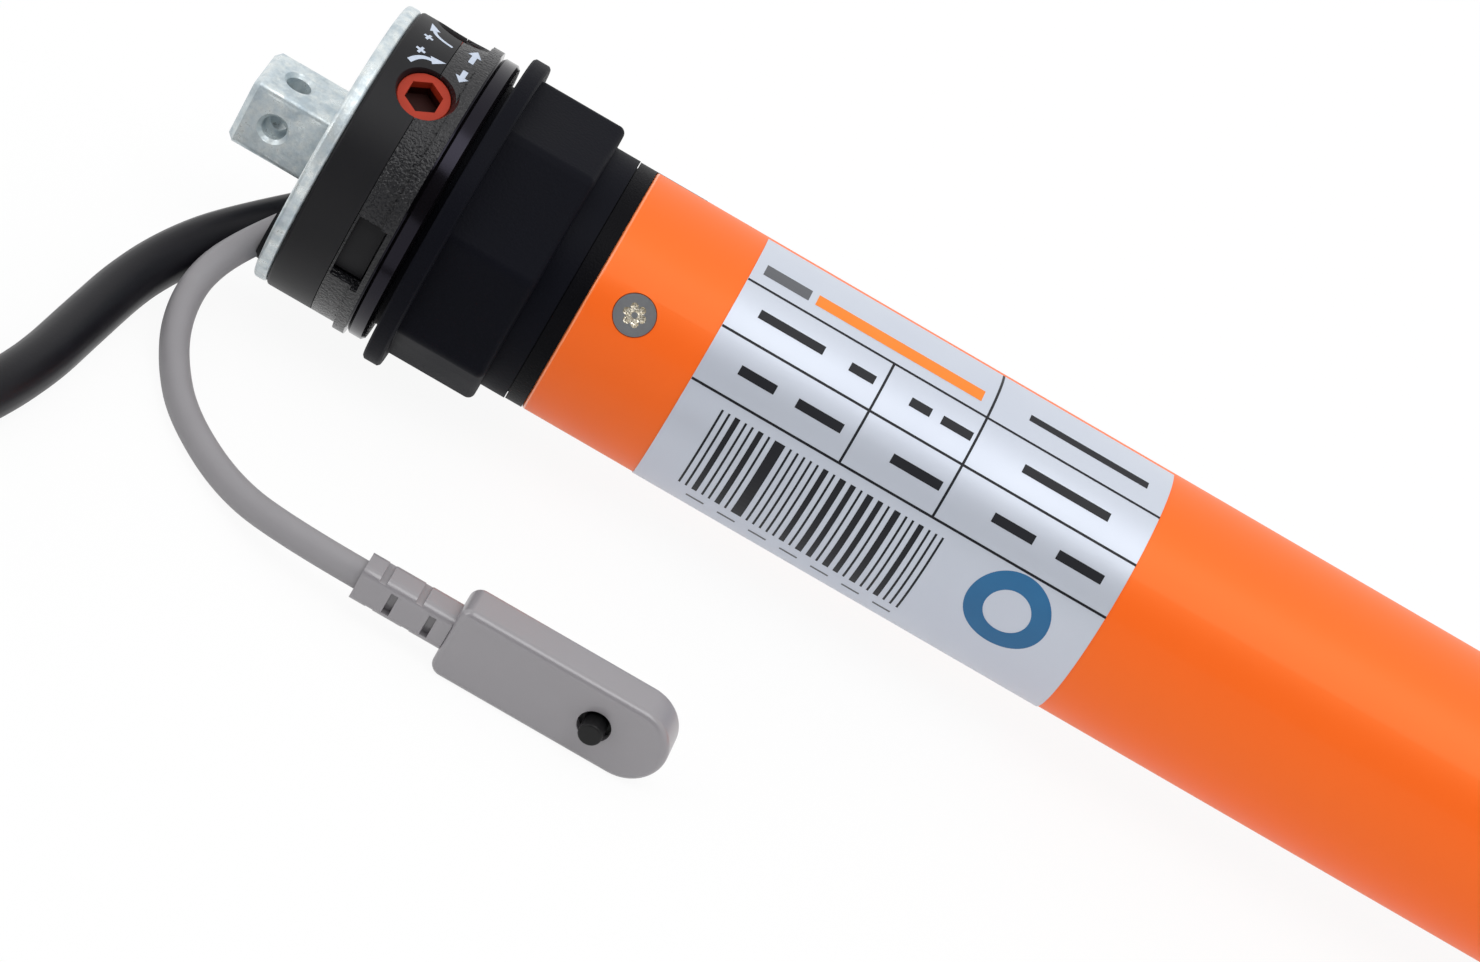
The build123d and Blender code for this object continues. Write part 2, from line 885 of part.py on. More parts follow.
def limit_switches():
    """The two microswitches under the limit nuts."""
    group = []
    nut_low = spindle_circle_radius - nut_height * nut_offset_share
    top = nut_low - switch_plunger_gap
    case_top = top - switch_plunger_diameter / 2
    case_middle = case_top - switch_case_height / 2
    station = cover_floor_end + switch_case_length / 2
    for angle in limit_wells():
        case = Pos(0, 0, case_middle) * Box(switch_case_length, switch_case_width, switch_case_height)
        case += upright(case_top, top, switch_plunger_diameter / 2)
        group.append(around(case, angle, station))
    return group


# Bearing sleeve, limit ring and crown
def key_tab(start, clearance):
    """The tab that keys the sleeve in the tube's notch."""
    half = key_width / 2 + clearance
    low = tube_bore - tube_wall
    length = key_length - start + 2 * clearance
    tab = Pos(0, 0, low) * Box(length, 2 * half, tube_radius - low, align=standing)
    return around(tab, key_angle, start - clearance)


def bearing_sleeve():
    """The sleeve that carries the limit ring and plugs into the tube."""
    sleeve = cylinder(gloss_end, collar_start, journal_radius)
    sleeve += cylinder(collar_start, 0, tube_radius)
    sleeve += cylinder(0, spigot_length, fit_radius)
    sleeve += key_tab(0, 0) & cylinder(0, key_length, tube_radius)
    sleeve -= cylinder(gloss_end + sleeve_floor, spigot_length + overrun, journal_radius - sleeve_wall)
    sleeve -= cylinder(gloss_end - overrun, gloss_end + sleeve_floor + overrun, wire_hole_radius)
    low = gloss_end - overrun
    for y, z in head_screw_spots():
        sleeve -= cylinder_at(low, gloss_end + sleeve_floor, head_screw_diameter / 2 + slip, y, z)
    for angle in limit_wells():
        y, z = spot(angle, spindle_circle_radius)
        sleeve -= cylinder_at(low, gloss_end + sleeve_floor / 2, spindle_diameter / 2 + running, y, z)
    for hole in screw_holes(head_screw_station):
        sleeve -= hole
    return largest(sleeve)


def crown_keys(grow):
    """The keys between the limit ring and the crown adapter."""
    keys = []
    start = octagon_start + crown_key_inset - grow
    length = octagon_length - 2 * crown_key_inset + 2 * grow
    height = crown_key_height + ring_wall / 2 + grow
    low = ring_outer_radius - ring_wall / 2
    for index in range(crown_key_count):
        block = Pos(0, 0, low) * Box(length, crown_key_width + 2 * grow, height, align=standing)
        keys.append(around(block, index * full_turn / crown_key_count, start))
    return keys


def limit_ring():
    """The ring on the sleeve that follows the roller tube and turns the limit pinions."""
    ring = cylinder(gear_band_start, ring_end, ring_outer_radius, ring_bore)
    band = Circle(ring_outer_radius) - inner_gear(limit_ring_teeth, limit_module)
    ring += along(gear_band_start, gloss_end - slip, band)
    for key in crown_keys(0):
        ring += key
    return ring


def octagon(across_flats, corner):
    """An octagon with flats at the top, bottom, front and back."""
    shape = RegularPolygon(across_flats / 2, octagon_sides, major_radius=False, rotation=octagon_turn)
    return fillet(shape.vertices(), corner)


def crown_adapter():
    """The crown: a flange against the roller tube's end and an octagon inside it."""
    flange = cylinder(crown_start, octagon_start, crown_radius)
    flange = chamfer(flange.edges().filter_by(GeomType.CIRCLE), crown_flange_chamfer)
    body = along(octagon_start, octagon_end, octagon(octagon_across_flats, octagon_edge_round))
    end_edges = body.faces().sort_by(Axis.X)[-1].edges()
    crown = flange + fillet(end_edges, octagon_end_round)
    crown -= cylinder(crown_start - overrun, octagon_end + overrun, ring_outer_radius + slip)
    for key in crown_keys(slip):
        crown -= key
    return largest(crown)


# Tube and label
def motor_tube():
    """The lacquered steel tube."""
    tube = cylinder(0, tube_length, tube_radius, tube_bore)
    for station in (head_screw_station, end_screw_station):
        for hole in screw_holes(station):
            tube -= hole
    return tube - key_tab(-overrun, slip)


def rating_label():
    """The foil label on the tube."""
    end = label_start + label_length
    inner = tube_radius + label_glue
    return arc_strip(label_start, end, inner, inner + label_thickness, label_from_angle, label_to_angle)


# Receiver board and capacitor
def board_tray():
    """The trough that carries the board and the capacitor in the tube."""
    tray = cylinder(tray_start, tray_end, fit_radius, fit_radius - tray_wall)
    above = fit_radius - tray_top + overrun
    middle = (0, tray_top + above / 2)
    return tray - round_box(tray_start - overrun, tray_end + overrun, tube_diameter, above, middle)


def board_width():
    """The width at which the board rests on the trough's wall."""
    inner = fit_radius - tray_wall - slip
    return 2 * sqrt(inner**2 - (board_drop + board_thickness) ** 2)


def receiver_board():
    """The circuit board of the receiver."""
    end = tray_start + board_length
    middle = (0, -board_drop - board_thickness / 2)
    return round_box(tray_start + slip, end, board_width(), board_thickness, middle)


def terminal_block():
    """The terminals at the head end of the board."""
    middle = terminal_height / 2 - board_drop
    block = round_box(terminal_start, terminal_end, terminal_width, terminal_height, (0, middle))
    pitch = terminal_width / terminal_count
    hole_end = terminal_start + (terminal_end - terminal_start) * terminal_hole_share
    for index in range(terminal_count):
        y = (index - (terminal_count - 1) / 2) * pitch
        block -= cylinder_at(terminal_start - overrun, hole_end, terminal_hole_diameter / 2, y, middle)
    return block


def relays():
    """The two relays that switch the motor's directions."""
    group = []
    start = terminal_end + relay_gap
    height = relay_height / 2 - board_drop
    for index in range(relay_count):
        low = start + index * (relay_length + relay_gap)
        group.append(round_box(low, low + relay_length, relay_width, relay_height, (0, height)))
    return group


def capacitor():
    """The run capacitor, a can with a crimped end."""
    radius = capacitor_diameter / 2
    end = tray_end - tray_gap / 2
    start = end - tray_length * capacitor_share
    crimp = start + capacitor_crimp_inset
    half = capacitor_crimp_depth
    can = turned([
        (start, 0), (start, radius), (crimp - half, radius), (crimp, radius - half), (crimp + half, radius),
        (end, radius), (end, 0),
    ])
    return Pos(0, 0, radius - (fit_radius - tray_wall) + slip) * can


# Brake
def brake_housing():
    """The iron pot of the brake, with the seat of its coil and spring."""
    pot = cylinder(brake_start, brake_end, fit_radius, shaft_diameter / 2 + free_gap)
    seat = brake_end - brake_coil_length - slip
    outer = brake_coil_outer_diameter / 2 + slip
    inner = brake_coil_inner_diameter / 2 - slip
    pot -= cylinder(seat, brake_end + overrun, outer, inner)
    pot -= cylinder(brake_end - brake_coil_length, brake_end + overrun, brake_bore / 2)
    for angle in guide_pin_angles:
        y, z = spot(angle, guide_pin_circle_radius)
        pot += cylinder_at(brake_end, armature_end, guide_pin_diameter / 2, y, z)
    return pot


def brake_coil():
    """The winding that lifts the brake."""
    start = brake_end - brake_coil_length
    return cylinder(start, brake_end - slip, brake_coil_outer_diameter / 2, brake_coil_inner_diameter / 2)


def brake_spring():
    """The coil spring that presses the armature on the disc, of square wire."""
    start = brake_end - brake_coil_length + brake_stroke
    length = armature_start - 2 * slip - start - brake_spring_wire
    pitch = length / brake_spring_turns
    radius = (brake_spring_diameter - brake_spring_wire) / 2
    path = Helix(pitch, length, radius, center=(0, 0, 0), direction=(1, 0, 0))
    across_wire = Plane(origin=path @ 0, z_dir=path % 0, x_dir=(1, 0, 0))
    section = across_wire * Rectangle(brake_spring_wire, brake_spring_wire)
    return Pos(start + brake_spring_wire / 2 + slip, 0, 0) * sweep(section, path=path, is_frenet=True)


def brake_armature():
    """The steel disc that the coil pulls off the brake disc."""
    disc = cylinder(armature_start, armature_end, armature_diameter / 2, shaft_diameter / 2 + wide_gap)
    hole = guide_pin_diameter / 2 + running
    for angle in guide_pin_angles:
        y, z = spot(angle, guide_pin_circle_radius)
        disc -= cylinder_at(armature_start - overrun, armature_end + overrun, hole, y, z)
    return disc


# Motor
def end_shields():
    """The two shields that hold the rotor's bearings."""
    group = []
    for start in (front_shield_start, rear_shield_start):
        shield = cylinder(start, start + shield_thickness, fit_radius, shaft_diameter / 2 + wide_gap)
        low = start + (shield_thickness - bearing_width) / 2
        group.append(shield - cylinder(low, low + bearing_width, bearing_diameter / 2 + running))
    return group


def rotor_bearings():
    """The two bearings of the rotor's shaft."""
    group = []
    bore = shaft_diameter / 2 + running
    for start in (front_shield_start, rear_shield_start):
        low = start + (shield_thickness - bearing_width) / 2
        group.append(cylinder(low + slip, low + bearing_width - slip, bearing_diameter / 2, bore))
    return group


def slot_places():
    """The directions of the stator's slots."""
    return [index * full_turn / slot_count for index in range(slot_count)]


def stator_core():
    """The laminated stator with its slots."""
    section = Circle(fit_radius) - Circle(stator_bore / 2)
    middle = (slot_inner_radius + slot_outer_radius) / 2
    slot = Rectangle(slot_outer_radius - slot_inner_radius, slot_width)
    for angle in slot_places():
        section -= Rot(0, 0, angle) * Pos(middle, 0) * slot
    return along(stator_start, stator_end, section)


def stator_windings():
    """The windings: a bar in every slot and the turns over both ends."""
    middle = (slot_inner_radius + slot_outer_radius) / 2
    bar = Rectangle(slot_outer_radius - slot_inner_radius - 2 * slot_liner, slot_width - 2 * slot_liner)
    section = Sketch()
    for angle in slot_places():
        section += Rot(0, 0, angle) * Pos(middle, 0) * bar
    outer, inner = slot_outer_radius + winding_room, slot_inner_radius - slot_liner
    start, end = stator_start - winding_overhang, stator_end + winding_overhang
    windings = along(start + winding_room, end - winding_room, section)
    windings += cylinder(start, stator_start - slip, outer, inner)
    windings += cylinder(stator_end + slip, end, outer, inner)
    return windings


def rotor():
    """The rotor: shaft, core and the end rings of its cage."""
    core_radius = stator_bore / 2 - rotor_gap
    start, end = stator_start - rotor_overhang, stator_end + rotor_overhang
    shaft = shaft_diameter / 2
    ring = core_radius - 2 * rotor_gap
    body = cylinder(disc_start - brake_gap, first_stage - gear_gap, shaft)
    body += cylinder(stator_start, stator_end, core_radius)
    body += cylinder(start, end, ring)
    return body


def brake_disc():
    """The friction disc on the rotor's shaft."""
    return cylinder(disc_start, disc_end, brake_disc_diameter / 2, shaft_diameter / 2)


# Planetary gearbox
def stage_start(stage):
    """The station where the gears of a stage begin."""
    return first_stage + stage * stage_length


def gearbox_housing():
    """The housing with the ring gear's teeth on its inside."""
    teeth_start = gearbox_start + gearbox_front_wall
    section = Circle(fit_radius) - inner_gear(ring_teeth, gear_module)
    body = along(teeth_start, gearbox_end, section)
    body += cylinder(gearbox_start, teeth_start, fit_radius, sun_tip() + wide_gap)
    return body


def sun_tip():
    """The outer radius of a sun gear."""
    return gear_module * (sun_teeth / 2 + addendum_share)


def sun_pinion(stage):
    """The sun gear of a stage."""
    start = stage_start(stage) - gear_gap
    end = stage_start(stage) + gear_width
    return along(start, end, outer_gear(sun_teeth, gear_module))


def planet_angle(index):
    """The direction of a planet, from the front towards the top."""
    return index * full_turn / planet_count


def planet(stage, index):
    """A planet gear on its pin."""
    turn = planet_angle(index)
    section = outer_gear(planet_teeth, gear_module) - Circle(planet_pin_diameter / 2 + running)
    section = Rot(0, 0, turn) * Pos(centre_distance, 0) * section
    start = stage_start(stage)
    return along(start, start + gear_width, section)


def carrier(stage):
    """A planet carrier: a disc with three pins."""
    gears = stage_start(stage)
    start = gears + gear_width + gear_gap
    body = cylinder(start, start + carrier_thickness, carrier_diameter / 2)
    for index in range(planet_count):
        turn = radians(planet_angle(index))
        y, z = centre_distance * cos(turn), centre_distance * sin(turn)
        body += cylinder_at(gears, start, planet_pin_diameter / 2, y, z)
    return body


# Drive end
def output_square_section(clearance):
    """The square end of the output shaft."""
    return pin_section(output_square + 2 * clearance, output_square_corner)


def output_shaft():
    """The output shaft with its square end and the groove of its clip."""
    start = stage_start(stage_count - 1) + gear_width + gear_gap + carrier_thickness
    shaft = cylinder(start, wheel_start, output_diameter / 2)
    shaft += along(wheel_start, shaft_end, output_square_section(0))
    groove = cylinder(clip_start, clip_start + clip_thickness + slip, output_diameter)
    core = cylinder(clip_start, clip_start + clip_thickness + slip, output_square / 2 - clip_groove_depth)
    return shaft - (groove - core)


def output_bush():
    """The bush that carries the output shaft."""
    end = cap_end - slip
    inner = output_diameter / 2 + running
    return cylinder(end - bush_length, end, inner + bush_wall, inner)


def end_cap():
    """The cap that closes the tube round the output bush."""
    cap = cylinder(cap_start, tube_length, fit_radius)
    cap += cylinder(tube_length, cap_end, tube_radius)
    cap -= cylinder(cap_start - overrun, cap_end + overrun, output_diameter / 2 + free_gap)
    bush_seat = output_diameter / 2 + running + bush_wall + running
    cap -= cylinder(cap_end - slip - bush_length, cap_end + overrun, bush_seat)
    for hole in screw_holes(end_screw_station):
        cap -= hole
    return largest(cap)


def drive_wheel():
    """The moulded octagonal wheel that turns the roller tube."""
    outer = octagon(wheel_across_flats, octagon_edge_round)
    inner = octagon(wheel_across_flats - 2 * wheel_wall, octagon_edge_round)
    hub = wheel_hub_diameter / 2
    wheel = along(wheel_start, wheel_end, outer - inner)
    web_start = wheel_start + (wheel_width - wheel_web) / 2
    wheel += along(web_start, web_start + wheel_web, inner)
    wheel += cylinder(wheel_start, wheel_end, hub)
    reach = (wheel_across_flats - wheel_wall - hub) / 2
    for index in range(wheel_rib_count):
        bar = Box(wheel_width - 2 * wheel_wall, wheel_rib, reach, align=lying)
        rib = Pos(0, 0, (hub + reach) / 2) * bar
        wheel += around(rib, index * full_turn / wheel_rib_count, wheel_start + wheel_wall)
    return wheel - along(wheel_start - overrun, wheel_end + overrun, output_square_section(slip))


def shaft_clip():
    """The spring clip that holds the drive wheel on the shaft."""
    inner = output_square / 2 - clip_groove_depth + slip / 2
    outer = inner + clip_groove_depth + clip_radial_width
    start = clip_start + slip / 2
    half = clip_opening_angle / 2
    return arc_strip(start, start + clip_thickness, inner, outer, half, full_turn - half)


# Leads
def corner_radii(points):
    """The radius that each corner of a route allows."""
    radii = []
    for before, corner, after in zip(points, points[1:], points[2:]):
        run_in, run_out = corner - before, after - corner
        half_turn = radians(run_in.get_angle(run_out)) / 2
        radii.append(arc_share * min(run_in.length, run_out.length) / tan(half_turn))
    return radii


def lead_path(route):
    """A lead's path: straight runs joined by arcs."""
    points = route_points(route)
    return FilletPolyline(*points, radius=corner_radii(points))


def lead_tube(route, diameter):
    """A round tube along a lead's path."""
    first, second = route_points(route)[:2]
    start = Plane(origin=first, z_dir=second - first)
    return sweep(start * Circle(diameter / 2), path=lead_path(route))


def lead(name, route, diameter):
    """A lead's tube, with its radii, length and volume printed."""
    tube = lead_tube(route, diameter)
    length = lead_path(route).length
    section = pi * (diameter / 2) ** 2
    print(name, "radii", [round(radius, 1) for radius in corner_radii(route_points(route))])
    print(name, "length", round(length, 1), "volume share", round(tube.volume / (section * length), 4))
    return tube


coil_pitch = mains_diameter + coil_gap
coil_start = route_points(mains_route)[-1]
last_run = coil_start - route_points(mains_route)[-2]
coil_swing = degrees(atan2(last_run.X, -last_run.Y))


def swung(shape):
    """Turn a piece of the coil into line with the last run of the mains lead."""
    return Pos(coil_start) * Rot(0, 0, coil_swing) * Pos(-coil_start) * shape


def half_turn(start, radius, side, end_height):
    """A half turn of the coil, clockwise from above, which may climb."""
    x, y, height = start
    rise = end_height - height
    reach = sqrt(radius**2 + (rise / 2) ** 2)
    middle = (x + side * radius, y + side * reach, height + rise / 2)
    end = (x + side * 2 * radius, y, end_height)
    return ThreePointArc(start, middle, end)


def coil_path():
    """The coil's path: it spirals in on the table, climbs, and spirals out on top."""
    height = coil_start.Z
    edges = [Line(coil_start, coil_start - Vector(0, mains_diameter, 0))]
    x = coil_start.X
    y = coil_start.Y - mains_diameter
    radius = coil_outer_radius
    side = -1
    halves = 2 * coil_turns
    for _ in range(halves):
        edges.append(half_turn((x, y, height), radius, side, height))
        x += side * 2 * radius
        side = -side
        radius -= coil_pitch / 2
    for _ in range(1, coil_layers):
        top = height + coil_pitch
        edges.append(half_turn((x, y, height), radius, side, top))
        x += side * 2 * radius
        side = -side
        height = top
        for _ in range(halves):
            radius += coil_pitch / 2
            edges.append(half_turn((x, y, height), radius, side, height))
            x += side * 2 * radius
            side = -side
    return edges, Vector(x, y, height), side


def tail_points(start, side):
    """The tail of the lead, from the top of the coil down to the table."""
    down = coil_start.Z - start.Z
    brink = start + Vector(0, side * tail_run, 0)
    foot = brink + Vector(0, side * tail_run, down)
    return [start, brink, foot, foot + Vector(0, side * tail_end_run, 0)]


def least_gap(path, diameter):
    """The least gap of a wound tube to itself, measured on points along its path."""
    step = path.length / gap_steps
    points = [path @ (index / gap_steps) for index in range(gap_steps + 1)]
    skip = int(gap_skip_share * diameter / step)
    pairs = ((near, far) for index, near in enumerate(points) for far in points[index + skip:])
    return min((near - far).length for near, far in pairs) - diameter


def mains_coil():
    """The rest of the mains lead, wound in two layers, and its tail."""
    edges, top, side = coil_path()
    tail = tail_points(top, side)
    tail_radii = corner_radii(tail)
    tail_edges = FilletPolyline(*tail, radius=tail_radii).edges()
    path = Wire([*edges, *tail_edges])
    section = Plane(origin=path @ 0, z_dir=path % 0) * Circle(mains_diameter / 2)
    tube = sweep(section, path=path)
    gap = least_gap(path, mains_diameter)
    print("mains_coil tail radii", [round(radius, 1) for radius in tail_radii])
    print("mains_coil length", round(path.length, 1), "least gap to itself", round(gap, 2))
    return tube


def coil_end():
    """Where the tail ends and the way it points."""
    _, top, side = coil_path()
    last, before = tail_points(top, side)[-1], tail_points(top, side)[-2]
    return last, (last - before).normalized()


def core_ends():
    """The three cores with their ferrules at the lead's bare end."""
    end, way = coil_end()
    group = []
    for index in range(core_count):
        turn = radians(quarter_turn + index * full_turn / core_count)
        offset = Vector(core_circle_radius * cos(turn), 0, core_circle_radius * sin(turn))
        foot = Plane(origin=end + offset, z_dir=way)
        core = extrude(foot * Circle(core_diameter / 2), amount=core_length)
        tip = Plane(origin=end + offset + way * core_length, z_dir=way)
        group.append(core + extrude(tip * Circle(ferrule_diameter / 2), amount=ferrule_length))
    return group


def coil_tie():
    """The strap that holds the coil's turns together."""
    start_x = coil_start.X
    centre_y = coil_start.Y - mains_diameter
    turns_width = coil_turns * coil_pitch
    inner_half_width = (turns_width + mains_diameter) / 2 + coil_gap
    middle_x = start_x - turns_width / 2
    low = coil_start.Z - mains_diameter / 2
    high = low + mains_diameter + coil_pitch + coil_gap
    band = Rectangle(2 * inner_half_width + 2 * coil_tie_thickness, high - low + coil_tie_thickness)
    hollow = Rectangle(2 * inner_half_width, high - low + overrun)
    centre_z = (low + high + coil_tie_thickness) / 2
    drop = (coil_tie_thickness + overrun) / 2
    section = band - Pos(0, -drop) * hollow
    corner = (middle_x, centre_y + coil_tie_width / 2, centre_z)
    plane = Plane(origin=corner, x_dir=(1, 0, 0), z_dir=(0, -1, 0))
    return extrude(plane * section, amount=coil_tie_width)


# Setting switch
switch_back = switch_front + switch_depth
switch_end = switch_start + switch_length
switch_middle_z = switch_height / 2 - table_drop
relief_middle_y = setting_route[-1][1]
button_x = switch_end - button_inset


def switch_outline(inset):
    """The switch's outline: small corners at the lead's end, a half round at the other."""
    half = switch_height / 2
    radius = half - inset
    corner = max(switch_corner - inset, slip)
    low_x = switch_start + inset
    bend_x = switch_end - half
    top = Line((low_x + corner, radius), (bend_x, radius))
    nose = ThreePointArc((bend_x, radius), (bend_x + radius, 0), (bend_x, -radius))
    bottom = Line((bend_x, -radius), (low_x + corner, -radius))
    low_corner = RadiusArc((low_x + corner, -radius), (low_x, corner - radius), corner)
    left = Line((low_x, corner - radius), (low_x, radius - corner))
    high_corner = RadiusArc((low_x, radius - corner), (low_x + corner, radius), corner)
    return make_face([top, nose, bottom, low_corner, left, high_corner])


def switch_slice(low_y, high_y, inset):
    """A slice of the switch between two distances from the front."""
    plane = Plane(origin=(0, low_y, switch_middle_z), x_dir=(1, 0, 0), z_dir=(0, -1, 0))
    return extrude(plane * switch_outline(inset), amount=-(high_y - low_y))


def across(radius, low_y, high_y):
    """A cylinder through the switch on the button's axis."""
    plane = Plane(origin=(button_x, low_y, switch_middle_z), x_dir=(1, 0, 0), z_dir=(0, -1, 0))
    return extrude(plane * Circle(radius), amount=-(high_y - low_y))


def switch_body():
    """The front shell of the switch with the button's hole."""
    lid_start = switch_back - switch_lid_depth
    body = switch_slice(switch_front, lid_start, 0)
    front_edges = body.faces().sort_by(Axis.Y)[0].edges()
    body = fillet(front_edges, switch_edge_round)
    body -= switch_slice(switch_front + switch_face_wall, lid_start + overrun, switch_wall)
    hole_end = switch_front + switch_face_wall + overrun
    return body - across(button_hole_diameter / 2, switch_front - overrun, hole_end)


def switch_back_cover():
    """The lid of the switch, with the lip that centres it."""
    lid_start = switch_back - switch_lid_depth
    lid = switch_slice(lid_start, switch_back, 0)
    back_edges = lid.faces().sort_by(Axis.Y)[-1].edges()
    lid = fillet(back_edges, switch_edge_round)
    lip = switch_slice(lid_start - switch_wall, lid_start, switch_wall + slip)
    lip -= switch_slice(lid_start - switch_wall - overrun, lid_start, 2 * switch_wall + slip)
    return lid + lip


board_back = switch_back - switch_lid_depth - slip
board_front = board_back - switch_board_thickness
button_back = board_front - tact_height - button_travel - slip


def set_button():
    """The black push button with the flange that keeps it in the switch."""
    cap = across(button_diameter / 2, switch_front - button_proud, button_back)
    cap = fillet(cap.edges().sort_by(Axis.Y)[0], button_round)
    flange_front = switch_front + switch_face_wall + slip
    return cap + across(button_flange_diameter / 2, flange_front, flange_front + button_flange_thickness)


def switch_board():
    """The small board behind the button."""
    length = switch_board_length
    middle = button_x - length / 2 + tact_size
    board = Box(length, switch_board_thickness, switch_board_height)
    return Pos(middle, board_back - switch_board_thickness / 2, switch_middle_z) * board


def tact_switch():
    """The push contact on the small board."""
    body = Box(tact_size, tact_height, tact_size)
    return Pos(button_x, board_front - tact_height / 2, switch_middle_z) * body


def switch_strain_relief():
    """The slotted strain relief between the lead and the switch."""
    end_x = setting_route[-1][0]
    length = switch_start - end_x
    plane = Plane(origin=(end_x, relief_middle_y, switch_middle_z), x_dir=(0, 1, 0), z_dir=(1, 0, 0))
    section = RectangleRounded(relief_depth, relief_height, relief_corner)
    body = extrude(plane * section, amount=length)
    for share in relief_slot_shares:
        for side in (-1, 1):
            y = relief_middle_y + side * relief_depth / 2
            slot = Box(relief_slot_width, 2 * relief_slot_depth, relief_slot_height)
            body -= Pos(end_x + share * length, y, switch_middle_z) * slot
    for share in relief_notch_shares:
        for side in (-1, 1):
            z = switch_middle_z + side * relief_height / 2
            notch = Box(relief_slot_width, relief_depth + overrun, 2 * relief_notch_depth)
            body -= Pos(end_x + share * length, relief_middle_y, z) * notch
    return body


# Assembly
def head_parts():
    """The pieces of the head."""
    parts["square_pin"] = square_pin()
    parts["mounting_plate"] = mounting_plate()
    parts["plate_screws"] = plate_screws()
    parts["cable_grommet"] = cable_grommet()
    parts["head_cover"] = head_cover()
    parts["head_housing"] = head_housing()
    parts["head_screws"] = head_screws()
    parts["limit_switches"] = limit_switches()
    for name, angle in (("front", limit_screw_angle), ("rear", -limit_screw_angle)):
        parts["limit_screw_" + name] = limit_screw(angle)
        parts["limit_spindle_" + name] = limit_spindle(angle)
    parts["limit_nuts"] = [limit_nut(angle) for angle in limit_wells()]
    parts["bearing_sleeve"] = bearing_sleeve()
    parts["limit_ring"] = limit_ring()
    parts["crown_adapter"] = crown_adapter()


def tube_parts():
    """The tube, what is on it and the electrical pieces in it."""
    parts["motor_tube"] = motor_tube()
    parts["rating_label"] = rating_label()
    parts["tube_screws"] = screw_group(head_screw_station) + screw_group(end_screw_station)
    parts["board_tray"] = board_tray()
    parts["receiver_board"] = [receiver_board(), *relays()]
    parts["terminal_block"] = terminal_block()
    parts["capacitor"] = capacitor()


def motor_parts():
    """The brake and the motor."""
    parts["brake_housing"] = brake_housing()
    parts["brake_coil"] = brake_coil()
    parts["brake_spring"] = brake_spring()
    parts["brake_armature"] = brake_armature()
    parts["brake_disc"] = brake_disc()
    parts["end_shields"] = end_shields()
    parts["rotor_bearings"] = rotor_bearings()
    parts["stator_core"] = stator_core()
    parts["stator_windings"] = stator_windings()
    parts["rotor"] = rotor() + sun_pinion(0)


def gear_parts():
    """The planetary gearbox and the drive end."""
    parts["gearbox_housing"] = gearbox_housing()
    stages = ("one", "two", "three")
    for stage, name in enumerate(stages):
        body = carrier(stage)
        if stage < stage_count - 1:
            body += sun_pinion(stage + 1)
        else:
            body += output_shaft()
        parts["carrier_" + name] = body
        for index in range(planet_count):
            parts["planet_" + name + "_" + "abc"[index]] = planet(stage, index)
    parts["output_bush"] = output_bush()
    parts["end_cap"] = end_cap()
    parts["drive_wheel"] = drive_wheel()
    parts["shaft_clip"] = shaft_clip()


def lead_parts():
    """The two leads and the setting switch."""
    parts["setting_cord"] = lead("setting_cord", setting_route, setting_diameter)
    parts["mains_cord"] = lead("mains_cord", mains_route, mains_diameter)
    parts["mains_coil"] = swung(mains_coil())
    parts["mains_coil_tie"] = swung(coil_tie())
    parts["mains_core_ends"] = [swung(core) for core in core_ends()]
    parts["switch_body"] = switch_body()
    parts["switch_back_cover"] = switch_back_cover()
    parts["set_button"] = set_button()
    parts["switch_board"] = [switch_board(), tact_switch()]
    parts["switch_strain_relief"] = switch_strain_relief()


def main():
    """Make every piece and write one file for each."""
    os.makedirs("parts", exist_ok=True)
    for make in (head_parts, tube_parts, motor_parts, gear_parts, lead_parts):
        make()
    for name, shape in parts.items():
        piece = Compound(children=list(shape)) if isinstance(shape, list) else shape
        export_step(place * piece, "parts/" + name + ".step")
    print("nodes", len(parts))


main()
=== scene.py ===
"""The looks of a tubular roller blind motor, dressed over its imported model."""

import json
import logging
import math
from dataclasses import dataclass, field
from enum import Enum
from itertools import product
from typing import Any, Iterable, Optional

import bmesh
import bpy
from bmesh.types import BMesh, BMVert
from bpy.types import ID, Material, Node, NodeSocket, NodeTree, Object
from mathutils import Matrix, Vector

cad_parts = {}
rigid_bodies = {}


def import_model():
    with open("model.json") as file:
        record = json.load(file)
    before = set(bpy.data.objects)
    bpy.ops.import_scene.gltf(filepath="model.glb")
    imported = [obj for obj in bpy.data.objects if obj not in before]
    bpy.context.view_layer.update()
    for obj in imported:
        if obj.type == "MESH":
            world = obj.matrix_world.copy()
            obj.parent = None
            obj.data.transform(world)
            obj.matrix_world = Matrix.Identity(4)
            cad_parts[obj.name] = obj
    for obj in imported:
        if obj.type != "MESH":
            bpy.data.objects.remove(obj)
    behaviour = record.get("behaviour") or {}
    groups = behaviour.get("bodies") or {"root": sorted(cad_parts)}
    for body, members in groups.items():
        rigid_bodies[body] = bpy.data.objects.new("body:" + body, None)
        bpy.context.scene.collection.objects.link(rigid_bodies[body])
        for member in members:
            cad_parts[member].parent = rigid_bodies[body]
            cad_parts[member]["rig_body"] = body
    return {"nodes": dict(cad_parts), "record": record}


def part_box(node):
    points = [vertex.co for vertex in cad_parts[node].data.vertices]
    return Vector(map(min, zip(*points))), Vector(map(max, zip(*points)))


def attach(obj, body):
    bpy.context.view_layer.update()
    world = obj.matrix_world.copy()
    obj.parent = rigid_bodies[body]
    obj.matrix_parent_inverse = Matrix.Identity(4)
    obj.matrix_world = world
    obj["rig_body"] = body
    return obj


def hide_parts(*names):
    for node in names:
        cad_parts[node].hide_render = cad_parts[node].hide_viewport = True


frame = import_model()

LOG = logging.getLogger("roller_motor")
ROOT = "motor_body"
WHITE = (1.0, 1.0, 1.0, 1.0)
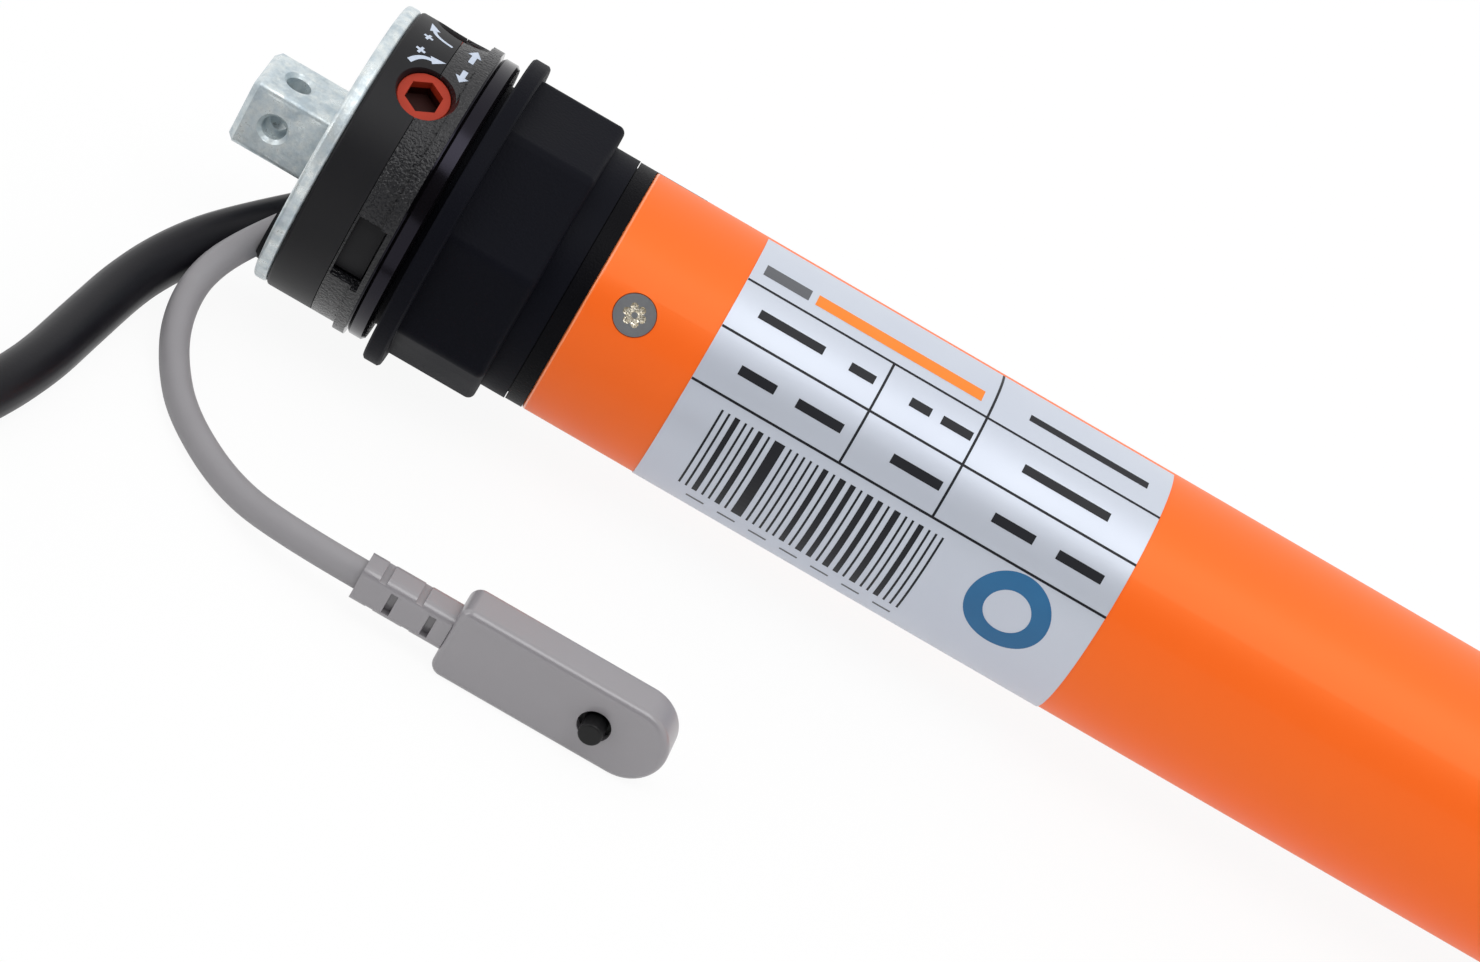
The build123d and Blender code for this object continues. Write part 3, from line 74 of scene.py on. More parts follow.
# A millimetre in metres, and the lengths below in millimetres
MM = 0.001
AXIS_HEIGHT = 22.2
TUBE_END_X = -173.3
WELD_DISTANCE = 0.004
RIM_TOLERANCES = (0.02, 0.05)
# Degrees: flatter joins are taken as flat, and sharper edges are taken as hard
FLAT_ANGLE = 0.5
HARD_ANGLE = 35.0
Flat = tuple[float, float]
Spot = tuple[float, float, float]


def place(station: float, y: float, height: float) -> Vector:
    """Turn a motor station, a distance behind the axis and a height into metres.

    Args:
        station: Millimetres from the head end of the tube, towards the drive end.
        y: Millimetres behind the axis.
        height: Millimetres above the table.

    Returns:
        The point in the model's frame.
    """
    return Vector(((station + TUBE_END_X) * MM, y * MM, height * MM))


def linear(colour: str) -> tuple[float, float, float, float]:
    """Turn an sRGB hex colour into the linear values that a shader takes.

    Args:
        colour: The colour as "#RRGGBB".

    Returns:
        Red, green, blue and an alpha of one.
    """
    values = []
    for index in (1, 3, 5):
        part = int(colour[index:index + 2], 16) / 255
        values.append(part / 12.92 if part <= 0.04045 else ((part + 0.055) / 1.055) ** 2.4)
    return (*values, 1.0)


def add_node(tree: NodeTree, kind: str, inputs: Optional[dict[Any, Any]] = None,
             **settings: Any) -> Node:
    """Add one node with its settings, socket values and links.

    Args:
        tree: The node tree to add it to.
        kind: The node's type name.
        inputs: Values or sockets for the node's inputs, by name or number.
        **settings: Fields of the node itself.

    Returns:
        The new node.
    """
    node = tree.nodes.new(kind)
    for name, value in settings.items():
        setattr(node, name, value)
    for key, value in (inputs or {}).items():
        if isinstance(value, NodeSocket):
            tree.links.new(value, node.inputs[key])
        else:
            node.inputs[key].default_value = value
    return node


def blank_material(name: str) -> Material:
    """Make a material whose node tree is empty.

    Args:
        name: Its name.

    Returns:
        The material.
    """
    made = bpy.data.materials.new(name)
    made.use_nodes = True
    made.node_tree.nodes.clear()
    return made


class Grain(Enum):
    """How a moulded surface was finished: grain size in mm and depth in mm."""

    POLISHED = (1.2, 0.002)
    SATIN = (0.5, 0.008)
    ETCHED = (0.42, 0.035)
    GRITTY = (0.3, 0.06)
    SPARKED = (0.42, 0.26)

    @property
    def size(self) -> float:
        """The grain's size in millimetres."""
        return self.value[0]

    @property
    def depth(self) -> float:
        """The grain's depth in millimetres."""
        return self.value[1]


@dataclass(frozen=True)
class Ground:
    """A material in the making: its tree, its principled shader and the coordinates it reads."""

    tree: NodeTree
    shader: Node
    where: NodeSocket

    def feed(self, name: str, source: NodeSocket) -> None:
        """Link a socket to one of the shader's inputs.

        Args:
            name: The input's name.
            source: The socket that it takes.
        """
        self.tree.links.new(source, self.shader.inputs[name])

    def noise(self, size: float, detail: float, roughness: float = 0.5,
              where: Optional[NodeSocket] = None) -> NodeSocket:
        """Add a noise.

        Args:
            size: The size of its clouds in millimetres.
            detail: How many finer layers it has.
            roughness: How strong they are.
            where: Other coordinates to read.

        Returns:
            The noise, from zero to one.
        """
        return add_node(self.tree, "ShaderNodeTexNoise", {
            "Vector": where or self.where, "Scale": 1 / (size * MM), "Detail": detail,
            "Roughness": roughness}).outputs["Fac"]

    def span(self, value: NodeSocket, **limits: float) -> NodeSocket:
        """Map a value from one range to another.

        Args:
            value: The value.
            **limits: The ends of the ranges, as from_min, from_max, to_min and to_max.

        Returns:
            The mapped value.
        """
        ends = {name.replace("_", " ").title(): limit for name, limit in limits.items()}
        return add_node(self.tree, "ShaderNodeMapRange", {"Value": value, **ends}).outputs["Result"]

    def mix(self, share: NodeSocket, first: Any, second: Any) -> NodeSocket:
        """Mix two colours.

        Args:
            share: The share of the second one.
            first: A colour or its socket.
            second: A colour or its socket.

        Returns:
            The mixed colour.
        """
        return add_node(self.tree, "ShaderNodeMix", {"Factor": share, 6: first, 7: second},
                        data_type="RGBA").outputs[2]


@dataclass(frozen=True)
class Finish:
    """A surface finish with a principled shader and a fine relief."""

    name: str
    colour: str
    roughness: float
    second: str = ""
    cloud: float = 9.0
    metallic: float = 0.0
    ior_level: float = 0.5
    coat: float = 0.0
    coat_roughness: float = 0.1
    tint: str = "#FFFFFF"
    spread: float = 0.08
    grain: Grain = Grain.SATIN
    cloud_detail: float = 3.0
    cloud_roughness: float = 0.6
    grain_detail: float = 2.0

    def material(self) -> Material:
        """Return this finish's material, made at its first use."""
        found = bpy.data.materials.get(self.name)
        if found:
            return found
        made = blank_material(self.name)
        tree = made.node_tree
        where = add_node(tree, "ShaderNodeTexCoord").outputs["Object"]
        shader = add_node(tree, "ShaderNodeBsdfPrincipled", {
            "Metallic": self.metallic, "Roughness": self.roughness,
            "Specular IOR Level": self.ior_level, "Coat Weight": self.coat,
            "Coat Roughness": self.coat_roughness, "Specular Tint": linear(self.tint),
        })
        ground = Ground(tree, shader, where)
        clouds = self.dress(ground)
        if self.spread:
            ground.feed("Roughness", ground.span(
                clouds, to_min=self.roughness - self.spread, to_max=self.roughness + self.spread))
        bump = add_node(tree, "ShaderNodeBump", {
            "Height": self.relief(ground), "Strength": 1.0, "Distance": self.grain.depth * MM})
        ground.feed("Normal", bump.outputs["Normal"])
        add_node(tree, "ShaderNodeOutputMaterial", {"Surface": shader.outputs["BSDF"]})
        return made

    def dress(self, ground: Ground) -> NodeSocket:
        """Give the shader its colour.

        Args:
            ground: The material in the making.

        Returns:
            The clouds, which the roughness follows too.
        """
        clouds = ground.noise(self.cloud, self.cloud_detail, self.cloud_roughness)
        if self.second in ("", self.colour):
            ground.shader.inputs["Base Color"].default_value = linear(self.colour)
        else:
            ground.feed("Base Color", ground.mix(clouds, linear(self.colour), linear(self.second)))
        return clouds

    def relief(self, ground: Ground) -> NodeSocket:
        """Draw the grain.

        Args:
            ground: The material in the making.

        Returns:
            Its height, from zero to one.
        """
        return ground.noise(self.grain.size, self.grain_detail)


@dataclass(frozen=True)
class ZincPassivation(Finish):
    """Electroplated zinc with a thin blue passivation: cloudy spangles and scuffs."""

    film: str = "#BFD0DB"
    film_share: float = 0.45
    film_reach: float = 0.9
    spangle_size: float = 1.1
    cloud: float = 2.6
    cloud_detail: float = 5.0
    cloud_roughness: float = 0.7
    cloud_edges: Flat = (0.36, 0.64)

    def dress(self, ground: Ground) -> NodeSocket:
        """Mix the spangles with a blue film and dull scuffs.

        Args:
            ground: The material in the making.

        Returns:
            The clouds, which the roughness follows too.
        """
        noise = ground.noise(self.cloud, self.cloud_detail, self.cloud_roughness)
        clouds = ground.span(noise, from_min=self.cloud_edges[0], from_max=self.cloud_edges[1])
        spangles = add_node(ground.tree, "ShaderNodeTexVoronoi", {
            "Vector": ground.where, "Scale": 1 / (self.spangle_size * MM)}).outputs["Distance"]
        base = ground.mix(clouds, linear(self.colour), linear(self.second))
        blue = ground.span(spangles, from_max=self.film_reach, to_max=self.film_share)
        ground.feed("Base Color", ground.mix(blue, base, linear(self.film)))
        return clouds


@dataclass(frozen=True)
class PrintedFoil(Finish):
    """Silver polyester foil: a fine brushed line along the tube."""

    line_width: float = 0.25
    line_stretch: float = 25.0

    def relief(self, ground: Ground) -> NodeSocket:
        """Draw the brushing as a noise that is long along the tube.

        Args:
            ground: The material in the making.

        Returns:
            Its height, from zero to one.
        """
        long_way = add_node(ground.tree, "ShaderNodeMapping", {
            "Vector": ground.where, "Scale": (1 / self.line_stretch, 1.0, 1.0)})
        return ground.noise(self.line_width, self.grain_detail, where=long_way.outputs["Vector"])


@dataclass(frozen=True)
class TurnedSteel(Finish):
    """Bright turned steel: fine uneven scratches."""

    scratch_spacing: float = 1.6
    waver: float = 4.0

    def relief(self, ground: Ground) -> NodeSocket:
        """Draw the scratches, all in one direction.

        Args:
            ground: The material in the making.

        Returns:
            Their height, from zero to one.
        """
        return add_node(ground.tree, "ShaderNodeTexWave", {
            "Vector": ground.where, "Scale": 1 / (self.scratch_spacing * MM),
            "Distortion": self.waver, "Detail": self.cloud_detail}).outputs["Fac"]


# Electroplated zinc on steel: bluish white, cloudy, with bright worn ridges
ZINC = ZincPassivation("blue_passivated_zinc_plating", "#EBEFEC", 0.36, second="#B3BEC3",
                       metallic=0.42, spread=0.12, grain=Grain.ETCHED)
# Smooth moulded polyamide: satin black with a soft sheen
COVER_BLACK = Finish("satin_black_polyamide", "#121215", 0.5, second="#18181B", ior_level=0.26)
# Spark-eroded mould face: coarse grain that glitters a little
BAND_BLACK = Finish("spark_grained_polyamide", "#101013", 0.29, second="#19191D", ior_level=0.46,
                    grain=Grain.SPARKED)
# Polished acetal: sharp soft-violet lights
GLOSS_BLACK = Finish("polished_black_acetal", "#0C0B0D", 0.15, second="#110F12", ior_level=0.24,
                     tint="#E4DFFF", grain=Grain.POLISHED)
# Matte glass-filled polyamide: blue-black, with faint clouds of sheen on the flats
CROWN_BLACK = Finish("matte_glass_filled_polyamide", "#0B0C12", 0.56, second="#12131B",
                     cloud=14.0, ior_level=0.055, spread=0.12, grain=Grain.ETCHED)
# Etched collar: very fine grit, the darkest black of the head
COLLAR_BLACK = Finish("etched_black_polyamide", "#08080B", 0.46, second="#0E0E12", ior_level=0.05,
                      grain=Grain.GRITTY)
# Stove lacquer on steel tube: deep, with a broad warm light and hardly any orange peel
ORANGE = Finish("glossy_orange_lacquer", "#FF640E", 0.5, second="#FE600B", cloud=60.0,
                ior_level=0.95, coat=0.05, coat_roughness=0.2, tint="#FFE9A0", spread=0.02,
                grain=Grain.POLISHED)
# The same lacquer on the tube's rounded end edge, painted lighter orange as a highlight
EDGE_HIGHLIGHT_ORANGE = Finish("painted_highlight_orange_edge", "#FF8C50", 0.26, second="#FF8446", ior_level=1.0,
                     grain=Grain.POLISHED)
# Silver polyester foil: bright, brushed along the tube
FOIL = PrintedFoil("silver_polyester_foil", "#CCD2DC", 0.42, second="#C4CAD7", cloud=22.0,
                   metallic=0.32, ior_level=0.35, spread=0.05, grain=Grain.POLISHED)
# Coloured polyamide: slightly shiny red
RED = Finish("red_polyamide", "#B4381F", 0.42, second="#A42F1A", cloud=4.0, ior_level=0.25)
# The same polyamide deep in a socket, painted dark brown red as shade where little light reaches
SOCKET_SHADE_RED = Finish("painted_shade_red_polyamide", "#3A120B", 0.5, second="#260B08", cloud=1.5,
                    ior_level=0.2)
# Zinc-nickel screw steel, turned
SCREW_STEEL = TurnedSteel("turned_screw_steel", "#C0C2C5", 0.34, second="#95979B", cloud=1.2,
                          metallic=0.8, spread=0.1, grain=Grain.POLISHED)
# Painted glint in the recess of such a screw: a near-white steel that stands in for its bright
# reflections
RECESS_GLINT_STEEL = Finish("painted_glint_screw_recess", "#FFF9EA", 0.16, second="#D8CFBC", cloud=0.4,
                      metallic=0.7, grain=Grain.SPARKED)
# Extruded rubber-like sheath of the mains lead
SHEATH_BLACK = Finish("black_rubber_sheath", "#0F0E13", 0.36, second="#15141A", cloud=5.0,
                      ior_level=0.2)
# Extruded PVC sheath of the setting lead
SHEATH_GREY = Finish("grey_pvc_sheath", "#8F8D90", 0.55, second="#989699", cloud=6.0,
                     ior_level=0.35)
# Overmoulded soft PVC of the switch
SWITCH_GREY = Finish("grey_soft_pvc_moulding", "#8B888C", 0.28, second="#918E92", cloud=18.0,
                     ior_level=1.0, spread=0.0)
# Soft rubber of the grommet
GROMMET = Finish("black_grommet_rubber", "#101012", 0.7, second="#161618", ior_level=0.2)
# Push button of smooth acetal
BUTTON_BLACK = Finish("black_acetal_button", "#101011", 0.4, second="#161617", ior_level=0.25)
# Screen-printed inks: flat, slightly rough films
INK_BLACK = Finish("black_printing_ink", "#15161C", 0.5, second="#1C1D24", ior_level=0.3)
INK_GREY = Finish("grey_printing_ink", "#5A5C60", 0.5, second="#63656A", ior_level=0.3)
INK_ORANGE = Finish("orange_printing_ink", "#F58A2C", 0.5, second="#F08226", ior_level=0.3)
INK_BLUE = Finish("blue_printing_ink", "#2F6F9E", 0.5, second="#2A628E", ior_level=0.3)
INK_WHITE = Finish("pale_pad_print", "#C9D3E2", 0.55, second="#B9C4D6", cloud=0.6, ior_level=0.3)

INNER_FINISHES: dict[str, Finish] = {
    "component_black": Finish("black_component_housing", "#1B1B1D", 0.5, second="#242427"),
    "gear_plastic": Finish("natural_acetal", "#E4E1D6", 0.4, second="#D8D4C6"),
    "lamination_steel": Finish("stacked_lamination_steel", "#7A7B7F", 0.42, second="#64656A",
                               metallic=1.0),
    "copper_winding": Finish("enamelled_copper_wire", "#B4602E", 0.35, second="#8E4520",
                             metallic=0.9, grain=Grain.SPARKED),
    "gear_steel": Finish("sintered_gear_steel", "#8B8C8F", 0.45, second="#77787C", metallic=1.0),
    "cast_zinc": Finish("die_cast_zinc", "#9C9EA2", 0.48, second="#86898E", metallic=1.0,
                        grain=Grain.ETCHED),
    "circuit_board": Finish("green_circuit_board", "#1E5B34", 0.42, second="#184C2B"),
    "capacitor_can": Finish("drawn_aluminium_can", "#BFC2C6", 0.3, second="#A9ADB2", metallic=1.0),
    "bronze": Finish("sintered_bronze", "#A9824A", 0.42, second="#92703F", metallic=1.0),
    "friction_lining": Finish("pressed_friction_lining", "#4A4038", 0.85, second="#3A322C",
                              grain=Grain.SPARKED),
    "spring_steel": Finish("oiled_spring_steel", "#8D8F94", 0.32, second="#74767B", metallic=1.0),
    "core_insulation": Finish("core_insulation_brown", "#5A3420", 0.45, second="#4D2B19"),
    "screw_steel": SCREW_STEEL,
}


def stand(name: str, data: ID) -> Object:
    """Put a new object in the scene.

    Args:
        name: Its name.
        data: Its mesh, curve, light or camera.

    Returns:
        The object, at the origin.
    """
    made = bpy.data.objects.new(name, data)
    bpy.context.scene.collection.objects.link(made)
    return made


def poured(form: BMesh, name: str, material: Material) -> Object:
    """Turn a built form into an object of one material.

    Args:
        form: The form, in metres and in place. It is freed.
        name: The object's name.
        material: Its material.

    Returns:
        The object.
    """
    mesh = bpy.data.meshes.new(name)
    form.to_mesh(mesh)
    form.free()
    mesh.materials.append(material)
    return stand(name, mesh)


def round_rim(form: BMesh, rim: float) -> None:
    """Round the outer edge at the end nearest to the pin, and give the round the second finish,
    which paints a highlight on it.

    Args:
        form: The merged form.
        rim: The round's size in millimetres.
    """
    def reach(vert: BMVert) -> float:
        return math.hypot(vert.co.y, vert.co.z - AXIS_HEIGHT * MM)

    end = min(vert.co.x for vert in form.verts)
    outer = max(reach(vert) for vert in form.verts)
    along, inwards = (tolerance * MM for tolerance in RIM_TOLERANCES)
    edges = [edge for edge in form.edges if all(
        vert.co.x < end + along and reach(vert) > outer - inwards for vert in edge.verts)]
    bmesh.ops.bevel(form, geom=edges, offset=rim * MM, segments=4, profile=0.5, affect="EDGES",
                    material=1, clamp_overlap=True)


def soften(form: BMesh, size: float) -> None:
    """Round every hard edge of a merged form a little.

    Args:
        form: The merged form.
        size: The round's size in millimetres.
    """
    bmesh.ops.dissolve_limit(form, angle_limit=math.radians(FLAT_ANGLE), verts=form.verts[:],
                             edges=form.edges[:])
    hard = [edge for edge in form.edges if len(edge.link_faces) == 2
            and abs(edge.calc_face_angle(0.0)) > math.radians(HARD_ANGLE)]
    bmesh.ops.bevel(form, geom=hard, offset=size * MM, segments=3, profile=0.5, affect="EDGES",
                    material=-1, clamp_overlap=True)


def skin(name: str, finish: Finish, crease: float = 32.0, rim: float = 0.0,
         soft: float = 0.0) -> Object:
    """Stand a merged and smoothly shaded copy of a solid in its place.

    Args:
        name: The solid's node.
        finish: The finish of the copy.
        crease: The angle in degrees from which an edge stays sharp.
        rim: How far the outer edge at the pin's end is rounded, in millimetres.
        soft: How far every hard edge is rounded, in millimetres.

    Returns:
        The copy, which replaces the node.
    """
    solid = frame["nodes"][name]
    mesh = solid.data.copy()
    mesh.name = name + "_skin"
    form = bmesh.new()
    form.from_mesh(mesh)
    bmesh.ops.remove_doubles(form, verts=form.verts[:], dist=WELD_DISTANCE * MM)
    if rim:
        round_rim(form, rim)
    if soft:
        soften(form, soft)
    for face in form.faces:
        face.smooth = True
    for edge in form.edges:
        if len(edge.link_faces) == 2:
            edge.smooth = edge.calc_face_angle(0.0) < math.radians(crease)
    mesh.materials.clear()
    mesh.materials.append(finish.material())
    form.to_mesh(mesh)
    form.free()
    piece = stand(name + "_skin", mesh)
    even = piece.modifiers.new("even_normals", "WEIGHTED_NORMAL")
    even.keep_sharp = True
    even.weight = 60
    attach(piece, solid["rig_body"])
    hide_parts(name)
    LOG.info("%s carries %s", piece.name, finish.name)
    return piece


def dress(name: str, finish: Finish) -> Object:
    """Give a solid its finish and leave its shape as it is.

    Args:
        name: The solid's node.
        finish: The finish.

    Returns:
        The solid's object.
    """
    solid = frame["nodes"][name]
    solid.data.materials.clear()
    solid.data.materials.append(finish.material())
    return solid


@dataclass
class Studio:
    """The camera, the lights and the white table of the picture.

    The camera's distance and its target are in millimetres, and all else is in metres.
    """

    azimuth: float = -3.20
    elevation: float = 32.79
    roll: float = 31.84
    distance: float = 651.0
    focal_pixels: float = 4984.0
    image_width: float = 1480.0
    sensor: float = 36.0
    target: Spot = (29.52, 0.0, 8.39)
    clip_start: float = 0.01
    floor_size: float = 3.0
    floor_tone: float = 0.9
    floor_glow: float = 0.93
    card_size: Flat = (1.8, 0.7)
    card_distance: float = 0.95
    card_colour: str = "#26282E"
    lit_point: Spot = (-0.1, 0.0, 0.02)
    softboxes: tuple[tuple[str, Spot, float, float], ...] = (
        ("softbox_above", (0.09, -0.47, 1.3), 0.9, 6.1),
        ("softbox_left", (-1.1, -0.6, 0.7), 0.7, 2.5))

    def camera(self) -> None:
        """Set up the camera where the photograph was taken."""
        turn, rise, roll = (math.radians(v) for v in (self.azimuth, self.elevation, self.roll))
        back = Vector((math.sin(turn) * math.cos(rise), -math.cos(turn) * math.cos(rise),
                       math.sin(rise)))
        right = Vector((math.cos(turn), math.sin(turn), 0.0))
        up = back.cross(right)
        across = math.cos(roll) * right + math.sin(roll) * up
        upwards = math.cos(roll) * up - math.sin(roll) * right
        data = bpy.data.cameras.new("camera")
        data.sensor_width = self.sensor
        data.lens = self.focal_pixels / self.image_width * self.sensor
        data.clip_start = self.clip_start
        camera = stand("camera", data)
        turned = Matrix((across, upwards, back)).transposed().to_4x4()
        camera.matrix_world = Matrix.Translation(
            place(*self.target) + back * self.distance * MM) @ turned
        bpy.context.scene.camera = camera

    def world(self) -> None:
        """Surround the motor with an even white."""
        world = bpy.data.worlds.new("studio_world")
        bpy.context.scene.world = world
        world.use_nodes = True
        tree = world.node_tree
        tree.nodes.clear()
        white = add_node(tree, "ShaderNodeBackground", {"Color": WHITE, "Strength": 1.0})
        add_node(tree, "ShaderNodeOutputWorld", {"Surface": white.outputs[0]})

    def floor(self) -> None:
        """Lay the white table, which glows for the rays that show it and keeps a faint shadow."""
        form = bmesh.new()
        bmesh.ops.create_grid(form, x_segments=1, y_segments=1, size=self.floor_size / 2)
        material = blank_material("white_table")
        tree = material.node_tree
        rays = add_node(tree, "ShaderNodeLightPath").outputs
        seen = rays["Is Camera Ray"]
        for name in ("Is Glossy Ray", "Is Transmission Ray"):
            seen = add_node(tree, "ShaderNodeMath", {0: seen, 1: rays[name]},
                            operation="MAXIMUM").outputs[0]
        share = add_node(tree, "ShaderNodeMath", {0: seen, 1: self.floor_glow},
                         operation="MULTIPLY")
        paint = add_node(tree, "ShaderNodeBsdfDiffuse", {"Color": (*[self.floor_tone] * 3, 1.0)})
        glow = add_node(tree, "ShaderNodeEmission", {"Color": WHITE, "Strength": 1.0})
        mixed = add_node(tree, "ShaderNodeMixShader", {
            0: share.outputs[0], 1: paint.outputs[0], 2: glow.outputs[0]})
        add_node(tree, "ShaderNodeOutputMaterial", {"Surface": mixed.outputs[0]})
        poured(form, "table", material)

    def dark_card(self) -> None:
        """Stand a dark card behind the camera, which gloss shows as a soft dark band."""
        form = bmesh.new()
        bmesh.ops.create_grid(form, x_segments=1, y_segments=1, size=0.5)
        rise = math.radians(self.elevation)
        towards = Vector((0.0, -math.cos(rise), math.sin(rise)))
        shape = Matrix.Diagonal((*self.card_size, 1.0, 1.0))
        turned = towards.to_track_quat("Z", "Y").to_matrix().to_4x4()
        middle = place(*self.target) + towards * self.card_distance
        bmesh.ops.transform(form, matrix=Matrix.Translation(middle) @ turned @ shape,
                            verts=form.verts[:])
        material = blank_material("black_flocked_card")
        tree = material.node_tree
        paint = add_node(tree, "ShaderNodeBsdfDiffuse", {"Color": linear(self.card_colour)})
        add_node(tree, "ShaderNodeOutputMaterial", {"Surface": paint.outputs[0]})
        card = poured(form, "dark_card", material)
        card.visible_camera = False

    def softbox(self, name: str, at: Spot, size: float, power: float) -> None:
        """Hang one square area light that looks at the motor.

        Args:
            name: The light's name.
            at: Where it hangs, in metres.
            size: Its side in metres.
            power: Its power in watts.
        """
        data = bpy.data.lights.new(name, "AREA")
        data.size = size
        data.energy = power
        aim = Vector(self.lit_point) - Vector(at)
        turned = aim.to_track_quat("-Z", "Y").to_matrix().to_4x4()
        stand(name, data).matrix_world = Matrix.Translation(at) @ turned

    def build(self) -> None:
        """Set up the camera, the world, the table and the lights."""
        self.camera()
        self.world()
        self.floor()
        self.dark_card()
        for box in self.softboxes:
            self.softbox(*box)


@dataclass
class Leads:
    """The setting lead and the mains lead with its put-away coil.

    The two whole lengths are in metres, and all else is in millimetres.
    """

    setting_diameter: float = 3.9
    mains_diameter: float = 6.8
    coil_gap: float = 0.6
    coil_turns: int = 3
    coil_radius: float = 49.6
    points_per_half_turn: int = 8
    steps_round: int = 7
    steps_along: int = 10
    tail_run: float = 18.0
    tail_end_run: float = 12.0
    setting_length: float = 0.072
    mains_length: float = 1.758
    setting_route: tuple[Spot, ...] = (
        (-37.4, -9.9, 14.0), (-41.3, -13.4, 10.0), (-43.7, -20.0, 7.1), (-43.2, -26.2, 4.2),
        (-40.6, -32.1, 2.0), (-35.7, -41.1, 2.0), (-26.0, -49.5, 2.0), (-15.9, -56.0, 5.45),
        (-6.6, -56.0, 5.45))
    mains_route: tuple[Spot, ...] = (
        (-37.0, -2.0, 10.8), (-41.6, -6.6, 8.7), (-46.7, -13.3, 6.4), (-50.6, -23.0, 4.3),
        (-52.4, -36.0, 3.5), (-53.9, -50.0, 3.5), (-57.5, -63.5, 3.5), (-63.2, -75.7, 3.5),
        (-69.9, -87.3, 3.5))
    other_core_colours: tuple[str, ...] = ("#1E4F8C", "#8FA33A")
    core_roughness: float = 0.45
    core_parting: float = 0.2
    ferrule_length: float = 7.0
    setting: Optional[Object] = None
    mains: Optional[Object] = None
    on_mains: list[Object] = field(default_factory=list)

    def curve(self, name: str, points: list[Vector], diameter: float,
              finish: Finish) -> Object:
        """Draw a lead as one smooth curve through its route.

        Args:
            name: The piece's name.
            points: The route in metres.
            diameter: The lead's diameter in millimetres.
            finish: Its sheath.

        Returns:
            The lead.
        """
        data = bpy.data.curves.new(name, "CURVE")
        data.dimensions = "3D"
        data.bevel_depth = diameter / 2 * MM
        data.bevel_resolution = self.steps_round
        data.resolution_u = self.steps_along
        data.use_fill_caps = True
        line = data.splines.new("NURBS")
        line.points.add(len(points) - 1)
        for point, spot in zip(line.points, points):
            point.co = (*spot, 1.0)
        line.order_u = 3
        line.use_endpoint_u = True
        line.use_smooth = True
        data.materials.append(finish.material())
        piece = stand(name, data)
        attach(piece, ROOT)
        return piece

    def half_turn(self, start: Vector, radius: float, side: int, rise: float) -> list[Vector]:
        """Work out the points of half a turn of the coil.

        Args:
            start: Where it begins, in millimetres.
            radius: Its radius in millimetres.
            side: -1 where it runs towards the pin's end, and 1 back.
            rise: How far it climbs, in millimetres.

        Returns:
            The control points, in millimetres.
        """
        count = self.points_per_half_turn
        reach = radius / math.cos(math.pi / (2 * count))
        points = []
        for index in range(count):
            share = (index + 0.5) / count
            turn = math.pi * share
            points.append(Vector((start.x + side * (radius - reach * math.cos(turn)),
                                  start.y + side * reach * math.sin(turn), start.z + rise * share)))
        return points

    def coil(self) -> list[Vector]:
        """Work out the coil and its tail from the end of the mains lead's route.

        Returns:
            The control points, in millimetres.
        """
        before, end = (Vector(spot) for spot in self.mains_route[-2:])
        pitch = self.mains_diameter + self.coil_gap
        spot = end - Vector((0, self.mains_diameter, 0))
        radius, side = self.coil_radius, -1
        points = []
        plan = [(0.0, -pitch / 2)] * (2 * self.coil_turns) + [(pitch, 0.0)]
        plan += [(0.0, pitch / 2)] * (2 * self.coil_turns)
        for rise, growth in plan:
            if growth > 0:
                radius += growth
            points += self.half_turn(spot, radius, side, rise)
            spot = spot + Vector((side * 2 * radius, 0, rise))
            side = -side
            if growth < 0:
                radius += growth
        brink = spot + Vector((0, side * self.tail_run, 0))
        foot = brink + Vector((0, side * self.tail_run, -pitch))
        points += [spot, brink, foot, foot + Vector((0, side * self.tail_end_run, 0))]
        last_run = end - before
        swing = Matrix.Rotation(math.atan2(last_run.x, -last_run.y), 4, "Z")
        return [end + swing @ (point - end) for point in points]

    def cores(self) -> Object:
        """Colour the three cores at the bare end, each its own insulation.

        Returns:
            The cores' piece.
        """
        piece = skin("mains_core_ends", INNER_FINISHES["core_insulation"])
        low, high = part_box("mains_core_ends")
        for number, colour in enumerate(self.other_core_colours, start=2):
            piece.data.materials.append(
                Finish(f"core_insulation_{number}", colour, self.core_roughness).material())
        piece.data.materials.append(SCREW_STEEL.material())
        before, end = (Vector(spot) for spot in self.mains_route[-2:])
        run = (before - end).normalized()
        aside = Vector((run.y, -run.x, 0.0))
        centre = (low + high) / 2
        tip = max(run.dot(vert.co) for vert in piece.data.vertices)
        for face in piece.data.polygons:
            if run.dot(face.center) > tip - self.ferrule_length * MM:
                face.material_index = 3
            elif face.center.z < centre.z - self.core_parting * MM:
                face.material_index = 1 if aside.dot(face.center - centre) < 0 else 2
        return piece

    def build(self) -> None:
        """Make both leads, the coil's tie and the bare cores."""
        self.setting = self.curve("setting_lead", [place(*spot) for spot in self.setting_route],
                                  self.setting_diameter, SHEATH_GREY)
        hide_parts("setting_cord")
        route = (*self.mains_route, *self.coil())
        self.mains = self.curve("mains_lead", [place(*spot) for spot in route],
                                self.mains_diameter, SHEATH_BLACK)
        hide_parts("mains_cord", "mains_coil")
        self.on_mains = [skin("mains_coil_tie", COVER_BLACK), self.cores()]


